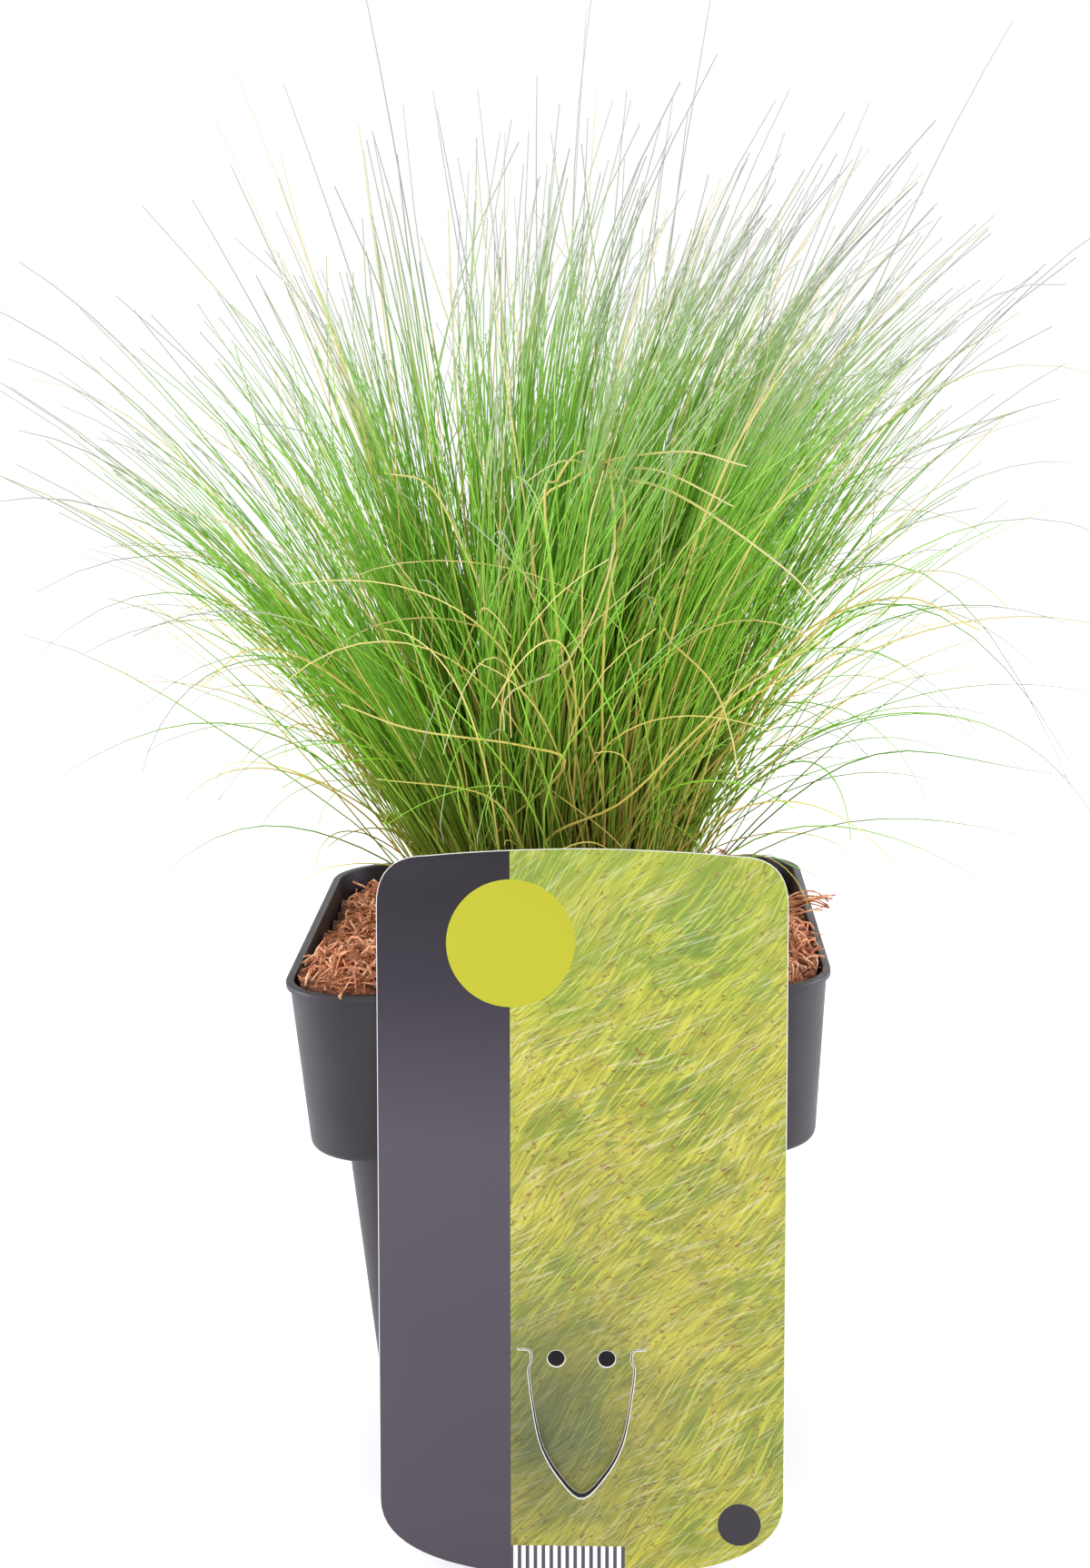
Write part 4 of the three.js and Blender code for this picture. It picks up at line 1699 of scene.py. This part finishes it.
            # Outer strands are longer, duller, thinner and paler at the tip, from drying and painted light,
            # than those in the middle.
            wide = spread * tuft.outer
            own = length * (0.68 + 0.08 * tuft.vigour + 0.06 * wide + 0.3 * rng.random())
            strand = self.arch(foot, own, (spread, slope), rng, self.loose_strands)
            hue = (tuft.hue + rng.normal(0, self.hue_spread)) * (1 - 0.35 * wide)
            count = round(self.strand_blades * (1.05 - 0.4 * wide) * tuft.vigour)
            for _ in range(count // 2 if tuft.dry else count):
                blade = self.strand_blade(strand, 1 - 0.5 * rng.random() ** 1.5, rng)
                if rng.random() < dead_share:
                    tone = rng.uniform(0, self.straw_tone)
                else:
                    tone = np.clip(hue + rng.normal(0, self.hue_spread), self.live_tone, 1)
                thick = self.foot_radius * rng.uniform(0.75, 1.2) * (1.08 - 0.25 * wide)
                dry_and_lit_tip = self.dry_and_lit_tip + self.strand_tips_dry_and_lit * wide
                paths.add(self.clear(blade), thick, self.tip_share, tone, dry_and_lit_tip)

    def add_strays(
        self, tuft: TuftHabit, foot: np.ndarray, length: float, rng: Random, paths: BladePaths
    ) -> None:
        """Adds the strays of one bundle, which go their own way, and the thin blades of its fan.

        Args:
            tuft: How its tuft grows.
            foot: Foot of the bundle, mm.
            length: Length of the bundle, mm.
            rng: Random numbers of the tuft.
            paths: The tuft's blades, to be added to.
        """
        dead_share = self.dead_strays[0 if tuft.dry else 1]
        for _ in range(round(self.stray_blades * (1 - 0.5 * tuft.left))):
            spread = 1 - 0.6 * tuft.outer * rng.random()
            start = foot + rng.normal(0, 0.6, 3) * (1, 1, 0)
            own = length * rng.uniform(0.4, 1.0)
            stray = self.arch(start, own, (spread, tuft.slope), rng, self.loose_strays)
            stray += swaying(np.linspace(0, 1, self.steps)[:, None], self.stray_sway, rng)
            dead = rng.random() < dead_share
            tone = rng.uniform(0, self.straw_tone) if dead else rng.uniform(self.live_tone, 0.9)
            thin = self.foot_radius * rng.uniform(0.6, 1.0)
            dry_and_lit_tip = self.dry_and_lit_tip + self.stray_tips_dry_and_lit * tuft.outer
            paths.add(self.clear(stray), thin, self.tip_share, tone, dry_and_lit_tip)
        for _ in range(self.fan_blades):
            spread = 1 - 0.75 * tuft.outer * rng.random()
            own = length * rng.uniform(0.74, 1.08)
            fan = self.arch(foot, own, (spread, tuft.slope), rng, self.loose_fans)
            dead = rng.random() < self.dead_fans
            tone = rng.uniform(0, self.straw_tone) if dead else rng.uniform(0.3, 1)
            thin = self.foot_radius * rng.uniform(0.6, 0.85)
            paths.add(self.clear(fan), thin, self.fan_tip_share, tone, self.dry_and_lit_tip)

    def regular_blades(self, index: int, paths: BladePaths) -> None:
        """Adds the blades of one tuft, bundle by bundle.

        Args:
            index: Number of the tuft.
            paths: The tuft's blades, to be added to.
        """
        rng = np.random.default_rng(self.seed * 1000 + index)
        tuft = self.habit(index, rng)
        radius = self.tuft_place(index)[0]
        for number in range(self.bundles):
            turn = index * GOLDEN_ANGLE + number * 2 * math.pi / (self.bundles - 1)
            ring = 0.0 if number == 0 else self.bundle_ring
            foot = np.array(
                [tuft.x + ring * math.cos(turn), tuft.y + ring * math.sin(turn), self.tuft_foot]
            )
            length = self.bundle_length(index, number, radius) * (1 - self.left_shortfall * tuft.left)
            self.add_strands(tuft, foot, length, rng, paths)
            self.add_strays(tuft, foot, length, rng, paths)

    def clear(self, path: np.ndarray) -> np.ndarray:
        """Keeps a blade inside the CAD box, behind the card and off the pot and the mulch.

        Args:
            path: Centre line of the blade, mm.

        Returns:
            The line, cut short where it leaves the box, sinks to the lip outside the pot or hangs
            before the card.
        """
        low, high = (np.array(corner) / MM for corner in CAD_BOX)
        low, high = low - self.box_margin, high + self.box_margin
        inside = self.pot.collar_half(self.pot.height) - self.pot.wall - self.lip_margin
        half_card = PlantLabel.width / 2 + self.margin
        at_card = np.abs(path[:, 0]) < half_card
        outside_lip = np.any(np.abs(path[:, :2]) > inside, axis=1)
        before_card = path[:, 1] < -PlantLabel.rim_reach - self.card_gap
        out = np.any((path[:, :2] < low[:2]) | (path[:, :2] > high[:2]), axis=1)
        out |= path[:, 2] > high[2]
        out |= outside_lip & (path[:, 2] < self.pot.height + self.margin)
        out |= at_card & before_card & (path[:, 2] < PlantLabel.length + self.card_headroom)
        if out.any():
            last = max(int(np.argmax(out)) - 1, 2)
            path = resampled(path[: last + 1], np.linspace(0, 1, last + 1), np.linspace(0, 1, len(path)))
        path = path.copy()
        slope = math.tan(math.radians(PlantLabel.lean))
        card_y = -PlantLabel.rim_reach + (path[:, 2] - self.pot.height) * slope + self.card_clearance
        behind = (np.abs(path[:, 0]) < half_card) & (path[:, 2] < PlantLabel.length + self.margin)
        path[:, 1] = np.where(behind, np.maximum(path[:, 1], card_y), path[:, 1])
        path[:, 2] = np.maximum(path[:, 2], self.tuft_foot)
        return path

    def nearest_tuft(self, x: float, y: float, life: Life) -> int:
        """Index of the tuft of one kind that stands nearest to a place."""
        kin = [index for index in range(self.tuft_count) if self.life(index) is life]
        return min(kin, key=lambda index: math.dist(self.tuft_place(index)[1:], (x, y)))

    def wisp(self, tip: np.ndarray, rise: float, plans: list[BladePaths], rng: Random) -> None:
        """Adds one long thin blade that reaches out of the nearest tuft.

        Args:
            tip: Place of its tip, mm.
            rise: How far its middle is bowed upwards, mm.
            plans: Blades of every tuft, to be added to.
            rng: Random numbers.
        """
        life = Life.STRAW if rng.random() < self.wisp_straws else Life.GREEN
        index = self.nearest_tuft(tip[0] * self.wisp_foot, tip[1] * self.wisp_foot, life)
        _, x, y = self.tuft_place(index)
        foot = np.array([x, y, self.tuft_foot])
        middle = foot + (tip - foot) * self.wisp_middle + (0, 0, rise)
        share = np.linspace(0, 1, self.loose_steps // 2 + 2)[:, None]
        line = foot * (1 - share) ** 2 + middle * 2 * share * (1 - share) + tip * share**2
        line += swaying(share, self.wisp_sway, rng)
        if life is Life.STRAW:
            tone = rng.uniform(0, self.straw_tone)
        else:
            tone = self.live_tone + (1 - self.live_tone) * rng.random() ** 2
        thin = rng.uniform(*self.wisp_radii)
        plans[index].add(self.clear(line), thin, self.wisp_tip_share, tone, self.wisp_tips_dry_and_lit)

    def outer_wisps(self, plans: list[BladePaths]) -> None:
        """Adds the single long blades that reach out of the tufts, on all sides of the plant.

        Args:
            plans: Blades of every tuft, to be added to.
        """
        rng = np.random.default_rng(self.seed)
        for turn, every in self.wisp_sides:
            cos, sin = math.cos(math.radians(turn)), math.sin(math.radians(turn))
            for across, height in self.wisp_tips[::every]:
                depth = rng.uniform(*self.wisp_depths)
                tip = np.array([across * cos - depth * sin, across * sin + depth * cos, height])
                flat = math.hypot(tip[0], tip[1])
                steep = (height - self.tuft_foot) / math.hypot(flat, height - self.tuft_foot)
                bow = self.wisp_bow * max(0.0, self.wisp_steepest_bow - steep) * flat
                self.wisp(tip, bow, plans, rng)
        for towards, fan, count in self.side_wisps:
            for _ in range(count):
                angle = towards + rng.normal(0, fan)
                reach, height = rng.uniform(*self.side_reaches), rng.uniform(*self.side_heights)
                tip = np.array([reach * math.cos(angle), reach * math.sin(angle), height])
                self.wisp(tip, rng.uniform(*self.side_bows) * reach, plans, rng)

    def tangle(self, index: int, paths: BladePaths) -> None:
        """Adds the limp old blades of one tuft, which curl over and cross the others.

        Args:
            index: Number of the tuft.
            paths: The tuft's blades, to be added to.
        """
        rng = np.random.default_rng(self.seed * 2000 + index)
        _, x, y = self.tuft_place(index)
        foot = np.array([x, y, self.tuft_foot])
        dry = self.life(index) is Life.STRAW
        share = (np.arange(self.loose_steps - 1) + 0.5) / (self.loose_steps - 1)
        for _ in range(self.tangled_blades * (self.dry_tangle if dry else 1)):
            # It sets off away from the pot's axis, more or less, and turns aside further up.
            side = math.atan2(y, x) + rng.normal(0, 0.9)
            turn = side + rng.normal(0, 1.3) * share**1.3
            start, end = rng.uniform(*self.tangle_starts), rng.uniform(*self.tangle_ends)
            lean = np.radians(start + (end - start) * share ** rng.uniform(*self.tangle_curls))
            headings = np.stack([np.sin(lean) * np.cos(turn), np.sin(lean) * np.sin(turn), np.cos(lean)], 1)
            headings *= rng.uniform(*self.tangle_lengths) / (self.loose_steps - 1)
            line = walked(foot, headings)
            limp = dry or rng.random() < self.tangle_straws
            tone = rng.uniform(0, self.straw_tone) if limp else rng.uniform(0.5, 1.0)
            # Blades that hang out past the clump at a side get paler tips: bleached, and painted light
            # shining through them.
            bleached_and_lit = self.dry_and_lit_tip + 0.5 * min(max(abs(line[-1, 0]) / 24 - 1.5, 0), 1)
            thin = rng.uniform(*self.tangle_radii)
            paths.add(self.clear(line), thin, self.tangle_tip_share, tone, bleached_and_lit)

    def curled_straws(self, plans: list[BladePaths]) -> None:
        """Adds the dead blades that curl over the front of the tufts.

        Args:
            plans: Blades of every tuft, to be added to.
        """
        rng = np.random.default_rng(self.seed + 1)
        for points in self.loose_blades:
            near = (points[0][0] * self.loose_foot, points[0][1] * self.loose_foot)
            index = self.nearest_tuft(*near, Life.STRAW)
            _, x, y = self.tuft_place(index)
            line = through(((x, y, self.tuft_foot), *points), self.loose_steps)
            tone = rng.uniform(*self.loose_tones)
            line = self.clear(line)
            plans[index].add(line, self.loose_radius, self.loose_tip_share, tone, self.dry_and_lit_tip)

    def build(self) -> None:
        """Builds every tuft, with the single blades that stand out, and hands them in."""
        plans = [BladePaths(full_length=self.longest) for _ in range(self.tuft_count)]
        for index, paths in enumerate(plans):
            self.regular_blades(index, paths)
            self.tangle(index, paths)
        self.outer_wisps(plans)
        self.curled_straws(plans)
        sweep = BladeSweep()
        tree = sweep.tree()
        material = GrownBlade().build()
        for index, paths in enumerate(plans):
            life = self.life(index)
            number = f"{index + 1:02d}"
            piece = sweep.sweep(f"{life.value}_blades_{number}", paths, tree, material)
            slot = "straw" if life is Life.STRAW else "green_leaf"
            hand_in(piece, slot, f"{life.value}_tuft_{number}")


# ------------ label


@dataclass
class PlantLabel:
    """Printed card that stands on the ground and leans on the pot's lip."""

    width: float = 65.8
    length: float = 120.0
    thickness: float = 0.5
    lean: float = 7.0
    turn: float = -1.5
    sidestep: float = 1.7
    round_top: float = 8.0
    corner_ease: float = 0.3375  # how far a corner's curve stays off the square corner
    camber: float = 1.2
    chin: float = 13.0
    chin_flat: float = 0.48
    chin_jowl: float = 0.2
    outline_steps: tuple[int, ...] = (20, 4, 10, 10)  # of the chin, a side, a corner and half the top
    eyelet_radius: float = 1.4
    eyelet_x: float = 4.1
    eyelet_height: float = 36.7
    eyelet_points: int = 28
    kerf: float = 0.16
    hinge: float = 38.4
    tongue_bend: float = 4.0
    # Half of the tongue's outline, from its shoulder down to its tip.
    tongue_edge: tuple = (
        (10.3, 38.3), (8.4, 38.0), (8.2, 36.2), (8.6, 34.4), (7.8, 28.0), (6.5, 22.0), (3.8, 17.0),
    )
    tongue_tip: float = 13.4
    tongue_points: int = 64
    edge_round: float = 0.11
    rim_reach: float = 45.3
    rim_height: float = 96.0
    front_slope: float = 0.97  # least upward part of a printed face's normal, on the flat card
    weld: float = 0.001  # points nearer than this become one

    @staticmethod
    def bezier(a: tuple, b: tuple, c: tuple, d: tuple, steps: int) -> list[Pair]:
        """Points of a cubic curve, without its end.

        Args:
            a: Start of the curve.
            b: Point that it leaves the start towards.
            c: Point that it reaches the end from.
            d: End of the curve.
            steps: How many points it gets.

        Returns:
            The points.
        """
        t = np.arange(steps)[:, None] / steps
        a, b, c, d = (np.array(p, float) for p in (a, b, c, d))
        line = a * (1 - t) ** 3 + 3 * b * t * (1 - t) ** 2 + 3 * c * t**2 * (1 - t) + d * t**3
        return [tuple(p) for p in line]

    def outline(self) -> list[Pair]:
        """Card outline from its lowest point, anticlockwise.

        Returns:
            The outline's points, mm.
        """
        half, top = self.width / 2, self.length - self.camber
        side, flat, jowl = half - self.round_top, half * self.chin_flat, self.chin * self.chin_jowl
        low, ease = top - self.round_top, self.round_top * self.corner_ease
        curves = (
            ((0, 0), (flat, 0), (half, jowl), (half, self.chin)),
            ((half, self.chin), (half, 40), (half, 80), (half, low)),
            ((half, low), (half, top - ease), (half - ease, top), (side, top)),
            ((side, top), (side / 2, self.length), (0, self.length), (0, self.length)),
        )
        right = []
        for curve, steps in zip(curves, self.outline_steps):
            right += self.bezier(*curve, steps)
        left = [(-x, y) for x, y in reversed(right[1:])]
        return right + [(0.0, self.length)] + left

    def tongue_line(self) -> np.ndarray:
        """Middle of the cut, from the tongue's left shoulder round its tip to the right one.

        Returns:
            One row of x, y for each point, mm.
        """
        edge = [(-x, y, 0) for x, y in self.tongue_edge] + [(0, self.tongue_tip, 0)]
        edge += [(x, y, 0) for x, y in reversed(self.tongue_edge)]
        return through(tuple(edge), self.tongue_points)[:, :2]

    def kerf_loop(self) -> list[Pair]:
        """Closed outline of the cut round the tongue.

        Returns:
            The outline's points, mm.
        """
        line = self.tongue_line()
        ahead = np.gradient(line, axis=0)
        normal = np.stack([-ahead[:, 1], ahead[:, 0]], 1) / np.linalg.norm(ahead, axis=1)[:, None]
        both = np.concatenate([line + normal * self.kerf / 2, (line - normal * self.kerf / 2)[::-1]])
        return [tuple(p) for p in both]

    def eyelet(self, x: float) -> list[Pair]:
        """Outline of one eyelet.

        Args:
            x: How far it stands from the card's middle, mm.

        Returns:
            The outline's points, mm.
        """
        turns = np.linspace(0, 2 * math.pi, self.eyelet_points, endpoint=False)
        radius, height = self.eyelet_radius, self.eyelet_height
        return [(x + radius * math.cos(turn), height + radius * math.sin(turn)) for turn in turns]

    def flat_mesh(self) -> Object:
        """The card lying flat, with its cut, its eyelets and slightly rounded edges.

        Returns:
            The card, linked to the scene.
        """
        curve = bpy.data.curves.new("plant_label_outline", "CURVE")
        curve.dimensions = "2D"
        curve.fill_mode = "BOTH"
        curve.extrude = (self.thickness / 2 - self.edge_round) * MM
        curve.bevel_depth = self.edge_round * MM
        curve.bevel_resolution = 1
        curve.offset = -self.edge_round * MM
        loops = [self.outline(), self.kerf_loop(), self.eyelet(-self.eyelet_x), self.eyelet(self.eyelet_x)]
        for loop in loops:
            spline = curve.splines.new("POLY")
            spline.points.add(len(loop) - 1)
            spline.use_cyclic_u = True
            for point, (x, y) in zip(spline.points, loop):
                point.co = (x * MM, y * MM, 0, 1)
        return curve_piece("printed_label", curve)

    def on_tongue(self, x: float, y: float) -> bool:
        """Whether a flat place lies inside the cut and below the tongue's hinge.

        Args:
            x: The place across the card, mm.
            y: Its height on the card, mm.

        Returns:
            True when the place is on the tongue.
        """
        if y > self.hinge:
            return False
        start = self.tongue_line()
        end = np.roll(start, -1, axis=0)
        spans = (start[:, 1] > y) != (end[:, 1] > y)
        rise = np.where(spans, end[:, 1] - start[:, 1], 1.0)
        crossing = start[:, 0] + (y - start[:, 1]) / rise * (end[:, 0] - start[:, 0])
        return bool(np.count_nonzero(spans & (crossing > x)) % 2)

    def dress(self, card: Object) -> None:
        """Gives the card its map, its two finishes, its bent tongue and its place.

        Args:
            card: The flat card, to be changed.
        """
        mesh = card.data
        work = bmesh.new()
        work.from_mesh(mesh)
        bmesh.ops.remove_doubles(work, verts=work.verts, dist=self.weld * MM)
        everything = work.verts[:] + work.edges[:] + work.faces[:]
        bmesh.ops.bisect_plane(work, geom=everything, plane_co=(0, self.hinge * MM, 0), plane_no=(0, 1, 0))
        bmesh.ops.recalc_face_normals(work, faces=work.faces)
        face_map = work.loops.layers.uv.new("CardFace")
        for face in work.faces:
            face.material_index = 0 if face.normal.z > self.front_slope else 1
            for loop in face.loops:
                spot = loop.vert.co
                loop[face_map].uv = (spot.x / (self.length * MM), spot.y / (self.length * MM))
        for vertex in work.verts:
            x, y = vertex.co.x / MM, vertex.co.y / MM
            if self.on_tongue(x, y):
                vertex.co.z -= math.tan(math.radians(self.tongue_bend)) * (self.hinge - y) * MM
        turn, lean = math.radians(self.turn), math.radians(90 - self.lean)
        for vertex in work.verts:
            x, y, z = vertex.co
            z += self.thickness / 2 * MM
            x, y = x * math.cos(turn) - y * math.sin(turn), x * math.sin(turn) + y * math.cos(turn)
            vertex.co = (x, y * math.cos(lean) - z * math.sin(lean), y * math.sin(lean) + z * math.cos(lean))
        lowest = min(vertex.co.z for vertex in work.verts)
        back = self.rim_reach + self.rim_height * math.tan(math.radians(self.lean))
        shift = (self.sidestep * MM, -back * MM, -lowest)
        bmesh.ops.translate(work, verts=work.verts, vec=shift)
        mesh.materials.clear()
        mesh.materials.append(PrintedCard(scale_mm=self.length).build())
        mesh.materials.append(BareCard().build())
        work.to_mesh(mesh)
        work.free()

    def build(self) -> None:
        """Builds the card and hands it in."""
        card = self.flat_mesh()
        self.dress(card)
        smooth_by_angle(card)
        hand_in(card, "label_card", "plant_label")


# ------------ studio


@dataclass(frozen=True)
class Lamp:
    """A square soft light. Places and size are metres, and power is watts."""

    name: str
    at: Triple
    aim: Triple
    size: float
    power: float
    tint: str = "#ffffff"

    def build(self) -> None:
        """Builds the light and turns its face towards its aim."""
        data = bpy.data.lights.new(self.name, "AREA")
        data.size = self.size
        data.energy = self.power
        data.color = linear(self.tint)[:3]
        lamp = linked(self.name, data)
        lamp.location = self.at
        lamp.rotation_euler = (Vector(self.aim) - Vector(self.at)).to_track_quat("-Z", "Y").to_euler()


@dataclass
class Studio:
    """Pale floor, soft lights and the camera."""

    camera_at: Triple = (12.7, -408.1, 207.3)
    pitch: float = 11.98  # degrees, as yaw and roll
    yaw: float = 2.1
    roll: float = -1.8
    focal_px: float = 2600.0
    picture_height_px: float = 1726.0
    sensor_mm: float = 36.0
    clip_m: Pair = (0.01, 100.0)
    floor_half_m: float = 12.0
    world_strength: float = 1.0
    lamps: tuple[Lamp, ...] = (
        Lamp("key_light", (-0.9, -0.9, 1.1), (0, 0, 0.12), 1.6, 10.0),
        Lamp("fill_light", (1.1, -0.6, 0.7), (0, 0, 0.1), 0.8, 4.0),
        Lamp("back_light", (0.3, 1.1, 1.0), (0, 0, 0.15), 0.8, 4.0),
        Lamp("left_strip", (-0.8, -0.02, 0.12), (0, 0, 0.07), 0.4, 6.0, "#eeeaff"),
        Lamp("right_strip", (0.8, 0.06, 0.14), (0, 0, 0.08), 0.4, 5.0, "#eeeaff"),
    )

    def build(self) -> None:
        """Builds the floor, the lights, the surrounding light and the camera."""
        half = self.floor_half_m
        corners = [(-half, -half, 0), (half, -half, 0), (half, half, 0), (-half, half, 0)]
        mesh = bpy.data.meshes.new("studio_floor")
        mesh.from_pydata(corners, [], [(0, 1, 2, 3)])
        mesh.materials.append(SweepPaper().build())
        linked("studio_floor", mesh)
        world = bpy.data.worlds.new("studio_light")
        world.use_nodes = True
        background = world.node_tree.nodes["Background"]
        feed(background, {"Color": WHITE, "Strength": self.world_strength})
        bpy.context.scene.world = world
        for lamp in self.lamps:
            lamp.build()
        data = bpy.data.cameras.new("camera")
        data.sensor_fit = "VERTICAL"
        data.sensor_height = self.sensor_mm
        data.lens = self.focal_px / self.picture_height_px * self.sensor_mm
        data.clip_start, data.clip_end = self.clip_m
        camera = linked("camera", data)
        camera.location = [c * MM for c in self.camera_at]
        camera.rotation_euler = self.camera_turn()
        bpy.context.scene.camera = camera
        bpy.context.scene.view_settings.view_transform = "Standard"

    def camera_turn(self) -> Euler:
        """The camera's rotation: yaw, then pitch, then roll about its own axis.

        Returns:
            The rotation.
        """
        yaw = Matrix.Rotation(math.radians(self.yaw), 3, "Z")
        pitch = Matrix.Rotation(math.radians(90 - self.pitch), 3, "X")
        roll = Matrix.Rotation(math.radians(self.roll), 3, "Z")
        return (yaw @ pitch @ roll).to_euler()


def main() -> None:
    """Builds the studio and each sub-assembly."""
    logging.basicConfig(level=logging.INFO, format="%(name)s: %(message)s")
    Studio().build()
    NurseryPot().build()
    PotFilling().build()
    FeatherGrass().build()
    PlantLabel().build()


if __name__ == "__main__":
    main()
